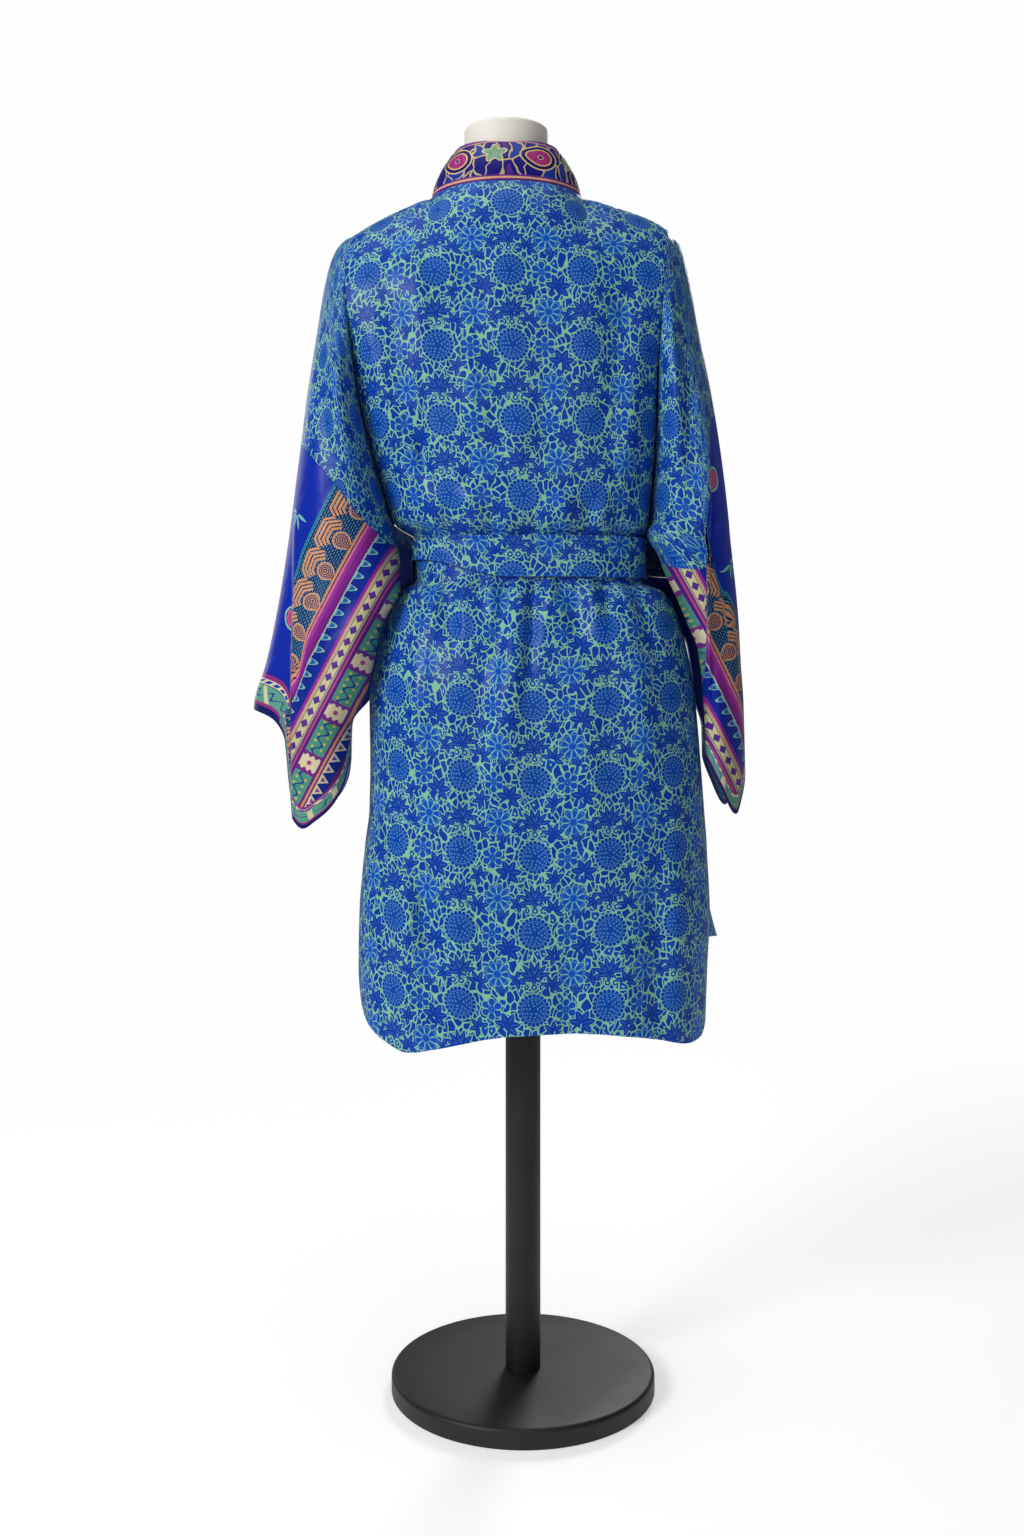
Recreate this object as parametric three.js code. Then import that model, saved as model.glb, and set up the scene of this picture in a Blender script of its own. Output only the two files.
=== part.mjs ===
// A short kimono robe on a limbless dress form with a round stand.
// Millimetres, +Z up. The garment faces -Y and its wearer's left is +X.
// The origin is the middle of the underside of the base.
import * as THREE from 'three';

// ---- Driving dimensions ----
const WALL = 2; // thickness of every cloth wall
const SEAM = 0.3; // gap between two pieces at a seam
const BASE = { radius: 150, height: 22, bevel: 5 };
const POLE = { radius: 20, top: 700 };
const NECK_CAP = { radius: 48, bottom: 1408, top: 1437, bevel: 5, x: 19 };
const COLLAR = { halfWidth: 87, height: 54, leanIn: 27, backLean: 20, bulge: 4, virtualRise: 46 };
const FRONT_BAND = 50; // width of the neckband where it lies on a front
const SHOULDER_ROUND = 130; // height over which the shoulder line rounds into the back and front
const BODY_POWER = 2.4; // squareness of the body's sections
const LAP = 5; // how far the left front lies outside the right one
const UNDERARM = 985; // height where the sleeves leave the body
const SLEEVE_TOP = 1311;
const FRONT_LAYER_IN = 8; // low on the sleeve the front layer's inner edge lies this much further out
const SLIT = { top: 620, spread: 16 };
const FLARE = { top: 575, height: 63, reach: 15 }; // the right front's lower side corner swings out
const BELT = { bottom: 922, top: 967, moveOut: 4.4, columns: 40, frontOut: 5 };
const KNOT = { width: 52, depth: 28, height: 40 };
const TAIL = { width: 42, length: 250, top: 921 };

// ---- Tables: a row for each height or place ----
// Middle of the body's section and its depth at the middle of the back and the front.
const BODY = [
  { z: 1420, middle: 19, back: 101, front: 106 },
  { z: 1300, middle: 17, back: 103, front: 112 },
  { z: 1180, middle: 12, back: 107, front: 120 },
  { z: 1100, middle: 8, back: 105, front: 116 },
  { z: 1030, middle: 2, back: 100, front: 107 },
  { z: 992, middle: -2, back: 96, front: 101 },
  { z: 980, middle: -3, back: 91, front: 95 },
  { z: 969, middle: -4, back: 80.5, front: 85.5 },
  { z: 945, middle: -5, back: 80, front: 85 },
  { z: 919, middle: -6, back: 80.5, front: 85.5 },
  { z: 908, middle: -7, back: 87, front: 91 },
  { z: 880, middle: -8, back: 98, front: 101 },
  { z: 840, middle: -9, back: 108, front: 111 },
  { z: 784, middle: -10, back: 117, front: 119 },
  { z: 700, middle: -12, back: 121, front: 124 },
  { z: 600, middle: -12, back: 122, front: 126 },
  { z: 400, middle: -10, back: 124, front: 128 },
];

// Where the body's back and fronts end at the side: the armhole above the
// underarm, the side seam and the slit below it. hollow is how far the armhole's
// edge lies from the plane Y = 0.
const SIDE = [
  { z: 1340, left: 189, right: -166, hollow: 90 },
  { z: 1300, left: 193, right: -161, hollow: 90 },
  { z: 1243, left: 196, right: -154, hollow: 86 },
  { z: 1180, left: 190, right: -150, hollow: 68 },
  { z: 1128, left: 184, right: -149, hollow: 47 },
  { z: 1059, left: 169, right: -148, hollow: 25 },
  { z: 1013, left: 156, right: -145, hollow: 9 },
  { z: 985, left: 147, right: -143.5, hollow: 1 },
  { z: 978, left: 138, right: -141, hollow: 0 },
  { z: 969, left: 123.5, right: -136.5, hollow: 0 },
  { z: 945, left: 123, right: -136, hollow: 0 },
  { z: 919, left: 123.5, right: -136.5, hollow: 0 },
  { z: 908, left: 140, right: -160, hollow: 0 },
  { z: 880, left: 155, right: -176, hollow: 0 },
  { z: 853, left: 163, right: -184, hollow: 0 },
  { z: 825, left: 168, right: -190, hollow: 0 },
  { z: 784, left: 175, right: -196, hollow: 0 },
  { z: 715, left: 174, right: -202, hollow: 0 },
  { z: 661, left: 175, right: -206, hollow: 0 },
  { z: 620, left: 180, right: -209, hollow: 0 },
  { z: 551, left: 185, right: -211, hollow: 0 },
  { z: 488, left: 186, right: -208, hollow: 0 },
  { z: 400, left: 180, right: -205, hollow: 0 },
];

// Height of the shoulder line over x, from the right armhole to the left one.
const SHOULDER = [
  { x: -185, z: 1302 },
  { x: -171, z: 1315 },
  { x: -148, z: 1330 },
  { x: -110, z: 1344 },
  { x: -68, z: 1354 },
  { x: 106, z: 1354 },
  { x: 132, z: 1345 },
  { x: 162, z: 1331 },
  { x: 188, z: 1316 },
  { x: 200, z: 1308 },
];

// Lower edge of the back, and of the fronts, over x.
const BACK_HEM = [
  { x: -209, z: 462 },
  { x: -205, z: 428 },
  { x: -197, z: 414 },
  { x: -184, z: 411 },
  { x: -150, z: 419 },
  { x: -110, z: 427 },
  { x: -60, z: 431 },
  { x: 0, z: 430 },
  { x: 57, z: 421 },
  { x: 100, z: 411 },
  { x: 128, z: 406 },
  { x: 151, z: 414 },
  { x: 172, z: 428 },
  { x: 181, z: 447 },
  { x: 186, z: 480 },
];
const FRONT_HEM = [
  { x: -224, z: 512 },
  { x: -100, z: 498 },
  { x: 0, z: 492 },
  { x: 100, z: 500 },
  { x: 190, z: 516 },
];

// How far the seam between the left front and its neckband lies from the
// middle of the garment; the right front mirrors it.
const FRONT_EDGE = [
  { z: 1354, reach: 88 },
  { z: 1335, reach: 85 },
  { z: 1300, reach: 77 },
  { z: 1250, reach: 64 },
  { z: 1200, reach: 48 },
  { z: 1150, reach: 33 },
  { z: 1100, reach: 18 },
  { z: 1050, reach: 4 },
  { z: 1000, reach: -8 },
  { z: 950, reach: -16 },
  { z: 850, reach: -26 },
  { z: 700, reach: -38 },
  { z: 500, reach: -48 },
];

// The sleeves: outer line, half depth, inner edges of the back and front layers
// below the underarm and how far these lie from Y = 0.
const SLEEVES = {
  left: {
    side: 1,
    outer: [
      { z: 1312, x: 196 },
      { z: 1304, x: 206 },
      { z: 1291, x: 215 },
      { z: 1265, x: 223 },
      { z: 1210, x: 233 },
      { z: 1128, x: 245 },
      { z: 1045, x: 256 },
      { z: 963, x: 268 },
      { z: 881, x: 282 },
      { z: 826, x: 294 },
      { z: 784, x: 307 },
      { z: 640, x: 316 },
    ],
    inner: [
      { z: 985, x: 148, hollow: 1.5 },
      { z: 957, x: 142, hollow: 9 },
      { z: 935, x: 139, hollow: 20 },
      { z: 908, x: 138, hollow: 34 },
      { z: 880, x: 152, hollow: 42 },
      { z: 853, x: 161, hollow: 46 },
      { z: 825, x: 167, hollow: 48 },
      { z: 800, x: 173, hollow: 48 },
      { z: 786, x: 178, hollow: 47 },
      { z: 759, x: 192, hollow: 44 },
      { z: 640, x: 194, hollow: 40 },
    ],
    // share 0 is the inner edge, share 1 the outer line
    bandTop: [
      { share: 0, z: 980 },
      { share: 0.25, z: 984 },
      { share: 0.55, z: 1018 },
      { share: 1, z: 1078 },
    ],
    cuff: [
      { share: 0, z: 718 },
      { share: 0.04, z: 692 },
      { share: 0.15, z: 668 },
      { share: 0.28, z: 654 },
      { share: 0.4, z: 645 },
      { share: 0.5, z: 656 },
      { share: 0.56, z: 694 },
      { share: 0.62, z: 746 },
      { share: 0.75, z: 765 },
      { share: 1, z: 775 },
    ],
    // the back layer steps away from the viewer past this x
    step: { x: 254, depth: 17, width: 5, top: 1060, full: 940 },
  },
  right: {
    side: -1,
    outer: [
      { z: 1312, x: -173 },
      { z: 1304, x: -179 },
      { z: 1291, x: -183 },
      { z: 1265, x: -189 },
      { z: 1210, x: -199 },
      { z: 1128, x: -214 },
      { z: 1045, x: -228 },
      { z: 963, x: -237 },
      { z: 881, x: -245 },
      { z: 826, x: -248 },
      { z: 784, x: -251 },
      { z: 640, x: -255 },
    ],
    inner: [
      { z: 985, x: -144.5, hollow: 1.5 },
      { z: 957, x: -147, hollow: 9 },
      { z: 932, x: -156, hollow: 20 },
      { z: 900, x: -172, hollow: 32 },
      { z: 870, x: -184, hollow: 40 },
      { z: 845, x: -194, hollow: 44 },
      { z: 800, x: -200, hollow: 44 },
      { z: 740, x: -203, hollow: 44 },
      { z: 640, x: -204, hollow: 44 },
    ],
    bandTop: [
      { share: 0, z: 980 },
      { share: 0.2, z: 968 },
      { share: 0.5, z: 962 },
      { share: 0.62, z: 1010 },
      { share: 0.76, z: 1085 },
      { share: 1, z: 1110 },
    ],
    cuff: [
      { share: 0, z: 720 },
      { share: 0.3, z: 688 },
      { share: 0.66, z: 659 },
      { share: 0.85, z: 680 },
      { share: 1, z: 704 },
    ],
    step: { x: -202, depth: 14, width: 5, top: 1120, full: 1040 },
  },
};
const SLEEVE_DEPTH = [
  { z: 1320, depth: 66 },
  { z: 1250, depth: 76 },
  { z: 1200, depth: 85 },
  { z: 1128, depth: 91 },
  { z: 1000, depth: 92 },
  { z: 880, depth: 90 },
  { z: 784, depth: 84 },
  { z: 640, depth: 70 },
];

// The largest folds: a soft ridge (rise > 0) or trough (rise < 0) from its upper
// end to its lower end. side 1 is the back, side -1 the front.
const FOLDS = [
  { side: 1, x0: 2, z0: 914, x1: 26, z1: 690, rise: 7, width: 17 },
  { side: 1, x0: 112, z0: 900, x1: 126, z1: 660, rise: 5, width: 15 },
  { side: 1, x0: 134, z0: 660, x1: 118, z1: 400, rise: 6, width: 14 },
  { side: 1, x0: 116, z0: 610, x1: 98, z1: 500, rise: -6, width: 12 },
  { side: 1, x0: 84, z0: 918, x1: 78, z1: 850, rise: -4, width: 12 },
  { side: 1, x0: -54, z0: 918, x1: -60, z1: 840, rise: -4, width: 12 },
  { side: 1, x0: -110, z0: 912, x1: -140, z1: 700, rise: 5, width: 16 },
  { side: 1, x0: -168, z0: 720, x1: -172, z1: 400, rise: 5, width: 14 },
  { side: 1, x0: 60, z0: 1020, x1: 54, z1: 970, rise: 3, width: 14 },
  { side: 1, x0: -48, z0: 1020, x1: -40, z1: 970, rise: 3, width: 14 },
  { side: 1, x0: 24, z0: 1300, x1: 20, z1: 1120, rise: 2, width: 22 },
  { side: -1, x0: 70, z0: 1240, x1: 30, z1: 1010, rise: 4, width: 18 },
  { side: -1, x0: -80, z0: 1220, x1: -60, z1: 1000, rise: 4, width: 18 },
  { side: -1, x0: 96, z0: 912, x1: 118, z1: 640, rise: 6, width: 18 },
  { side: -1, x0: -96, z0: 912, x1: -130, z1: 600, rise: 6, width: 18 },
  { side: -1, x0: 140, z0: 800, x1: 150, z1: 520, rise: -5, width: 14 },
];

// The dress form's torso: half width and depths of each section.
const TORSO = [
  { z: 700, middle: -6, half: 138, back: 84, front: 84 },
  { z: 708, middle: -6, half: 148, back: 91, front: 91 },
  { z: 740, middle: -7, half: 157, back: 98, front: 98 },
  { z: 785, middle: -7, half: 158, back: 99, front: 100 },
  { z: 850, middle: -7, half: 141, back: 88, front: 92 },
  { z: 900, middle: -6, half: 121, back: 73, front: 79 },
  { z: 945, middle: -5, half: 111, back: 66, front: 73 },
  { z: 1000, middle: 0, half: 118, back: 70, front: 80 },
  { z: 1100, middle: 8, half: 139, back: 80, front: 94 },
  { z: 1180, middle: 12, half: 151, back: 85, front: 99 },
  { z: 1250, middle: 15, half: 156, back: 83, front: 92 },
  { z: 1290, middle: 17, half: 157, back: 76, front: 83 },
  { z: 1312, middle: 18, half: 154, back: 66, front: 72 },
  { z: 1328, middle: 18, half: 141, back: 57, front: 60 },
  { z: 1340, middle: 19, half: 116, back: 50, front: 51 },
  { z: 1349, middle: 19, half: 84, back: 46, front: 46 },
  { z: 1360, middle: 19, half: 56, back: 46, front: 46 },
  { z: 1380, middle: 19, half: 47, back: 46, front: 46 },
  { z: 1407.7, middle: 19, half: 46, back: 46, front: 46 },
];

// ---- Small helpers ----
const clamp = (value, low, high) => Math.min(high, Math.max(low, value));
const mix = (a, b, share) => a + (b - a) * share;
const smooth = (value) => {
  const share = clamp(value, 0, 1);
  return share * share * (3 - 2 * share);
};

// Value of one column of a table at a key, smooth between rows and without overshoot.
function look(table, key, at, column) {
  const rows = table[0][key] < table[table.length - 1][key] ? table : [...table].reverse();
  const last = rows.length - 1;
  if (at <= rows[0][key]) return rows[0][column];
  if (at >= rows[last][key]) return rows[last][column];
  const slope = (i) => (rows[i + 1][column] - rows[i][column]) / (rows[i + 1][key] - rows[i][key]);
  const tangent = (i) => {
    if (i === 0 || i === last) return slope(Math.min(i, last - 1));
    const [before, after] = [slope(i - 1), slope(i)];
    return before * after <= 0 ? 0 : (2 * before * after) / (before + after);
  };
  const i = rows.findIndex((row) => row[key] > at) - 1;
  const span = rows[i + 1][key] - rows[i][key];
  const t = (at - rows[i][key]) / span;
  const start = (1 + 2 * t) * (1 - t) ** 2 * rows[i][column] + t * (1 - t) ** 2 * span * tangent(i);
  const end = t * t * (3 - 2 * t) * rows[i + 1][column] + t * t * (t - 1) * span * tangent(i + 1);
  return start + end;
}
const body = (z, column) => look(BODY, 'z', z, column);
const edge = (z, column) => look(SIDE, 'z', z, column);

// ---- Cloth walls ----
// surface(u, v) gives the outer side, u and v from 0 to 1. The inner side is
// WALL behind it; keep() may correct an inner point. closed joins u = 1 to u = 0.
function wall(surface, uSteps, vSteps, { closed = false, outward, keep = (inner) => inner }) {
  const columns = closed ? uSteps.length - 1 : uSteps.length;
  const rows = vSteps.length;
  const step = 1e-4;
  const outer = [];
  const inner = [];
  for (const v of vSteps) {
    for (const u of uSteps.slice(0, columns)) {
      const point = surface(u, v);
      const [u0, u1] = closed ? [u - step, u + step] : [Math.max(0, u - step), Math.min(1, u + step)];
      const [v0, v1] = [Math.max(0, v - step), Math.min(1, v + step)];
      const across = surface(u1, v).sub(surface(u0, v));
      const down = surface(u, v1).sub(surface(u, v0));
      const normal = across.cross(down).normalize();
      if (normal.dot(outward(point)) < 0) normal.negate();
      outer.push(point);
      inner.push(keep(point.clone().addScaledVector(normal, -WALL), point, u, v));
    }
  }
  const count = outer.length;
  const triangles = [];
  const quad = (a, b, c, d) => triangles.push(a, b, c, a, c, d);
  const at = (row, column) => row * columns + (column % columns);
  const cells = closed ? columns : columns - 1;
  for (let row = 0; row < rows - 1; row += 1) {
    for (let column = 0; column < cells; column += 1) {
      const [a, b] = [at(row, column), at(row, column + 1)];
      const [d, c] = [at(row + 1, column), at(row + 1, column + 1)];
      quad(a, d, c, b);
      quad(a + count, b + count, c + count, d + count);
    }
    if (!closed) {
      const [a, d] = [at(row, 0), at(row + 1, 0)];
      quad(a, a + count, d + count, d);
      const [b, c] = [at(row, columns - 1), at(row + 1, columns - 1)];
      quad(b, c, c + count, b + count);
    }
  }
  for (let column = 0; column < cells; column += 1) {
    const [a, b] = [at(0, column), at(0, column + 1)];
    quad(a, b, b + count, a + count);
    const [d, c] = [at(rows - 1, column), at(rows - 1, column + 1)];
    quad(d, d + count, c + count, c);
  }
  return closedGeometry([...outer, ...inner], triangles);
}

// Geometry from points and triangles, turned over if its faces point inwards.
function closedGeometry(points, triangles) {
  let volume = 0;
  for (let i = 0; i < triangles.length; i += 3) {
    const [a, b, c] = [0, 1, 2].map((k) => points[triangles[i + k]]);
    volume += a.dot(b.clone().cross(c));
  }
  if (volume < 0) {
    for (let i = 0; i < triangles.length; i += 3) {
      [triangles[i + 1], triangles[i + 2]] = [triangles[i + 2], triangles[i + 1]];
    }
  }
  const geometry = new THREE.BufferGeometry().setFromPoints(points);
  geometry.setIndex(triangles);
  geometry.computeVertexNormals();
  return geometry;
}

const even = (count) => Array.from({ length: count + 1 }, (_, i) => i / count);

// ---- Form of the body ----
// Height of the shoulder line; inside the neck it rises on as if there were no hole.
function shoulderHeight(x) {
  const fromMiddle = Math.abs(x - body(1354, 'middle')) / COLLAR.halfWidth;
  const rise = fromMiddle < 1 ? COLLAR.virtualRise * (1 - fromMiddle ** 2) : 0;
  return look(SHOULDER, 'x', x, 'z') + rise;
}

function foldAt(side, x, z) {
  let sum = 0;
  for (const fold of FOLDS) {
    const share = (fold.z0 - z) / (fold.z0 - fold.z1);
    if (fold.side !== side || share < 0 || share > 1) continue;
    const off = (x - mix(fold.x0, fold.x1, share)) / fold.width;
    sum += fold.rise * Math.sin(Math.PI * share) ** 0.8 * Math.exp(-off * off);
  }
  return sum;
}

// 1 at the shoulder, where body and sleeve are one smooth surface, and 0 where a
// trough lies between them.
const atShoulder = (z) => smooth((z - 1130) / 120);

// A point of the body's outer side at x and z. side 1 is the back, -1 the front.
function bodyPoint(side, x, z, moveOut = 0) {
  const middle = body(z, 'middle');
  const end = edge(z, x > middle ? 'left' : 'right');
  const across = clamp((x - middle) / (end - middle), 0, 1);
  const slit = SLIT.spread * smooth((SLIT.top - z) / 90);
  const hollow = edge(z, 'hollow') + slit;
  const depth = body(z, side > 0 ? 'back' : 'front');
  const boxy = (1 - across ** BODY_POWER) ** (1 / BODY_POWER);
  const bow = mix(boxy, 1 - across ** BODY_POWER, atShoulder(z)); // runs on into the sleeve up there
  const drop = clamp((shoulderHeight(x) - z) / SHOULDER_ROUND, 0, 1);
  const round = Math.sqrt(1 - (1 - drop) ** 2);
  const out = (hollow + (depth - hollow) * bow + foldAt(side, x, z) * (1 - across ** 6)) * round;
  return new THREE.Vector3(x, side * (out + SEAM / 2 + moveOut * round), z);
}

const bodyOutward = (point) => new THREE.Vector3(point.x - body(point.z, 'middle'), point.y * 2, 20);

// Rows of the body from the top edge (0) to the hem (1): levels in the middle
// stretch are shared by the back and the fronts.
const TOP_SHARES = [0, 0.015, 0.06, 0.14, 0.27, 0.45, 0.7];
const LEVELS = [
  1225, 1185, 1145, 1105, 1065, 1035, 1010, 992, 985, 978, 969, 945, 919, 908, 895, 875, 850, 820, 785,
  745, 705, 662, 620,
];
const LOW_SHARES = [0.22, 0.45, 0.66, 0.84, 1];
const bodyRows = TOP_SHARES.length + LEVELS.length + LOW_SHARES.length;

function rowHeight(v, top, bottom) {
  const at = v * (bodyRows - 1);
  const all = [
    ...TOP_SHARES.map((share) => mix(top, LEVELS[0], share)),
    ...LEVELS,
    ...LOW_SHARES.map((share) => mix(LEVELS[LEVELS.length - 1], bottom, share)),
  ];
  const low = Math.min(Math.floor(at), all.length - 2);
  return mix(all[low], all[low + 1], at - low);
}

// The back spans from the right side (u 0) to the left side (u 1).
function backX(u, z) {
  const middle = body(z, 'middle');
  const across = 2 * u - 1;
  const end = edge(z, across > 0 ? 'left' : 'right');
  return middle + Math.abs(across) ** 0.92 * (end - middle);
}

// The heights of a column's upper and lower end, where its x depends on the height.
function settle(xAt, start, heightAt) {
  let z = start;
  for (let turn = 0; turn < 12; turn += 1) z = mix(z, heightAt(xAt(z)), 0.7);
  return z;
}

function neckSeamHeight(x) {
  const fromMiddle = Math.abs(x - body(1354, 'middle')) / COLLAR.halfWidth;
  return fromMiddle < 1 ? 1354 + 3 * (1 - fromMiddle ** 2) : shoulderHeight(x);
}

function backSurface(u, v) {
  const top = settle((z) => backX(u, z), 1350, neckSeamHeight);
  const bottom = settle((z) => backX(u, z), 430, (x) => look(BACK_HEM, 'x', x, 'z'));
  const z = rowHeight(v, top, bottom);
  const gap = (2 * u - 1) * (SEAM / 2) * Math.abs(2 * u - 1) ** 8;
  return bodyPoint(1, backX(u, z) - gap, z);
}

// Lift of the left front over the right one.
const lap = (x, z) => LAP * smooth((150 - x) / 60) * smooth((1345 - z) / 60);

// A front spans from the side (u 0) to its seam with the neckband (u 1).
function frontX(side, u, z) {
  const start = edge(z, side > 0 ? 'left' : 'right') - side * (SEAM / 2);
  const corner = clamp((FLARE.top - z) / FLARE.height, 0, 1.2) ** 1.6 * (1 - u) ** 3;
  const cornerFlare = side < 0 ? -FLARE.reach * corner : 0;
  const seam = body(z, 'middle') + side * (look(FRONT_EDGE, 'z', z, 'reach') + SEAM);
  return mix(start, seam, u) + cornerFlare;
}

function frontSurface(side, u, v) {
  const top = settle((z) => frontX(side, u, z), 1345, shoulderHeight);
  const bottom = settle((z) => frontX(side, u, z), 500, (x) => look(FRONT_HEM, 'x', x, 'z'));
  const z = rowHeight(v, Math.min(top, 1354), bottom);
  const x = frontX(side, u, z);
  return bodyPoint(-1, x, z, side > 0 ? lap(x, z) : 0);
}

// ---- Sleeves ----
// around goes from the back layer's inner edge (0) over the outer line (0.5)
// to the front layer's inner edge (1).
function sleevePoint(sleeve, around, z) {
  const { side, outer, inner, step } = sleeve;
  const name = side > 0 ? 'left' : 'right';
  const free = z < UNDERARM;
  const layer = around < 0.5 ? 1 : -1;
  const frontIn = layer < 0 ? side * FRONT_LAYER_IN * smooth((790 - z) / 40) : 0;
  const gap = SEAM / 2 + 0.25 + 0.2 * atShoulder(z);
  const innerX = free ? look(inner, 'z', z, 'x') + frontIn : edge(z, name) + side * gap;
  const hollow = free ? look(inner, 'z', z, 'hollow') : edge(z, 'hollow') + 0.5;
  const outerX = Math.max(side * look(outer, 'z', z, 'x'), side * innerX + 4);
  const depth = look(SLEEVE_DEPTH, 'z', z, 'depth');
  const half = Math.min(around, 1 - around) * 2 * Math.PI;
  const x = side * (mix(side * innerX, outerX, 0.5) - 0.5 * (outerX - side * innerX) * Math.cos(half));
  const stepping = smooth((side * (x - step.x)) / step.width);
  const below = smooth((step.top - z) / (step.top - step.full));
  const recess = layer > 0 ? step.depth * stepping * below * Math.sin(half) ** 0.5 : 0;
  const drop = clamp((SLEEVE_TOP + 8 - z) / SHOULDER_ROUND, 0, 1);
  const round = Math.sqrt(1 - (1 - drop) ** 2);
  const bow = Math.sin(half) ** 0.9;
  const held = hollow * Math.cos(half / 2) ** 4;
  const full = held + (depth - hollow * 0.25) * bow;
  const rounded = hollow * Math.sqrt(1 - Math.sin(half / 2) ** 4);
  const y = mix(full, rounded, atShoulder(z)) - recess;
  return new THREE.Vector3(x, layer * Math.max(y, 0) * round, z);
}

const shareOf = (around) => (1 - Math.cos(Math.min(around, 1 - around) * 2 * Math.PI)) / 2;
const sleeveOutward = (sleeve) => (point) => {
  const name = sleeve.side > 0 ? 'left' : 'right';
  const outerX = look(sleeve.outer, 'z', point.z, 'x');
  const innerX = point.z < UNDERARM ? look(sleeve.inner, 'z', point.z, 'x') : edge(point.z, name);
  return new THREE.Vector3(point.x - mix(innerX, outerX, 0.5), point.y, 0);
};

// Height of the seam between the sleeve's two parts, and half its gap there,
// which is taller where the seam runs steeply.
const seamHeight = (sleeve, around) => look(sleeve.bandTop, 'share', shareOf(around), 'z');
function halfGap(sleeve, around) {
  const [low, high] = [Math.max(0, around - 0.02), Math.min(1, around + 0.02)];
  const from = sleevePoint(sleeve, low, seamHeight(sleeve, low));
  const to = sleevePoint(sleeve, high, seamHeight(sleeve, high));
  const steepness = Math.abs(to.z - from.z) / Math.hypot(to.x - from.x, to.y - from.y);
  return (SEAM / 2) * Math.hypot(1, steepness * 2);
}

function sleeveSurface(sleeve, around, v) {
  const bottom = seamHeight(sleeve, around) + halfGap(sleeve, around);
  return sleevePoint(sleeve, around, mix(SLEEVE_TOP, bottom, v));
}

function bandSurface(sleeve, around, v) {
  const share = shareOf(around);
  const top = seamHeight(sleeve, around) - halfGap(sleeve, around);
  return sleevePoint(sleeve, around, mix(top, look(sleeve.cuff, 'share', share, 'z'), v));
}

// ---- Neckband ----
// along goes from the left hem (0) over the back of the neck (0.5) to the right hem (1).
const NECK_STEPS = 8; // steps half round the neck
const NECK_SHARE = NECK_STEPS / (NECK_STEPS + bodyRows - 1);
function neckbandPoint(along, across) {
  const side = along < 0.5 ? 1 : -1;
  const fromBack = Math.abs(along - 0.5) * 2;
  const middle = body(1354, 'middle');
  if (fromBack < NECK_SHARE) {
    const angle = (fromBack / NECK_SHARE) * (Math.PI / 2);
    const x = middle + side * COLLAR.halfWidth * Math.sin(angle);
    const seam = bodyPoint(1, x, neckSeamHeight(x));
    const [sideways, backwards] = [COLLAR.leanIn * Math.sin(angle), COLLAR.backLean * Math.cos(angle)];
    const inward = new THREE.Vector3(-side * sideways, -backwards, 0);
    const bulge = COLLAR.bulge * 4 * across * (1 - across);
    const up = mix(48, COLLAR.height, Math.sin(angle));
    seam.addScaledVector(inward, across - bulge / 22);
    seam.z += 2 * SEAM + up * across;
    return seam;
  }
  const share = (fromBack - NECK_SHARE) / (1 - NECK_SHARE);
  const hem = look(FRONT_HEM, 'x', body(500, 'middle') - side * 48, 'z');
  const z = rowHeight(share, 1354, hem);
  const reach = (height) => look(FRONT_EDGE, 'z', height, 'reach');
  const slope = Math.atan2(reach(z + 5) - reach(z - 5), 10);
  const x = body(z, 'middle') + side * reach(z);
  const flatX = x - side * FRONT_BAND * across * Math.cos(slope);
  const flatZ = z + FRONT_BAND * across * Math.sin(slope) * smooth((z - 992) / 90);
  const lift = side > 0 ? lap(x, z) : 0;
  const flat = bodyPoint(-1, flatX, flatZ, lift);
  const stand = bodyPoint(-1, x, z, lift);
  stand.x -= side * COLLAR.leanIn * across;
  stand.z += COLLAR.height * across;
  return flat.lerp(stand, smooth((z - 1262) / 92));
}
const neckbandOutward = (point) => new THREE.Vector3(point.x - body(point.z, 'middle'), point.y * 2, 30);

// ---- Belt ----
function beltPoint(around, height) {
  const z = mix(BELT.bottom, BELT.top, height);
  const angle = around * 2 * Math.PI;
  const middle = body(z, 'middle');
  const end = edge(z, Math.cos(angle) > 0 ? 'left' : 'right');
  const wide = Math.abs(Math.cos(angle)) ** 0.9;
  const side = Math.sin(angle) >= 0 ? 1 : -1;
  const lift = side < 0 ? BELT.frontOut * smooth(Math.abs(Math.sin(angle)) * 2.5) : 0;
  const point = bodyPoint(side, middle + (end - middle) * wide, z, lift);
  const out = new THREE.Vector3(Math.cos(angle) * 1.6, Math.sin(angle) * 1.6, 0);
  out.set(Math.sign(out.x) * Math.abs(out.x) ** 2, out.y, 0).normalize();
  return point.addScaledVector(out, BELT.moveOut);
}

function tailPoint(lean, moveOut, across, down) {
  const z = TAIL.top - TAIL.length * down * Math.cos(lean);
  const x = body(945, 'middle') + TAIL.length * down * Math.sin(lean) + (across - 0.5) * TAIL.width;
  const wave = 2.5 * Math.sin(down * 7 + lean * 30) * down;
  const point = bodyPoint(-1, x, z, LAP + moveOut);
  point.y -= 4 + Math.abs(wave);
  return point;
}

// A lump with soft corners, like a sphere pressed towards a box.
function knotGeometry() {
  const geometry = new THREE.SphereGeometry(1, 16, 10);
  const position = geometry.getAttribute('position');
  const soft = (value) => Math.sign(value) * Math.abs(value) ** 0.72;
  for (let i = 0; i < position.count; i += 1) {
    const [x, y, z] = [position.getX(i), position.getY(i), position.getZ(i)].map(soft);
    position.setXYZ(i, (x * KNOT.width) / 2, (y * KNOT.depth) / 2, (z * KNOT.height) / 2);
  }
  return geometry;
}

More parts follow.
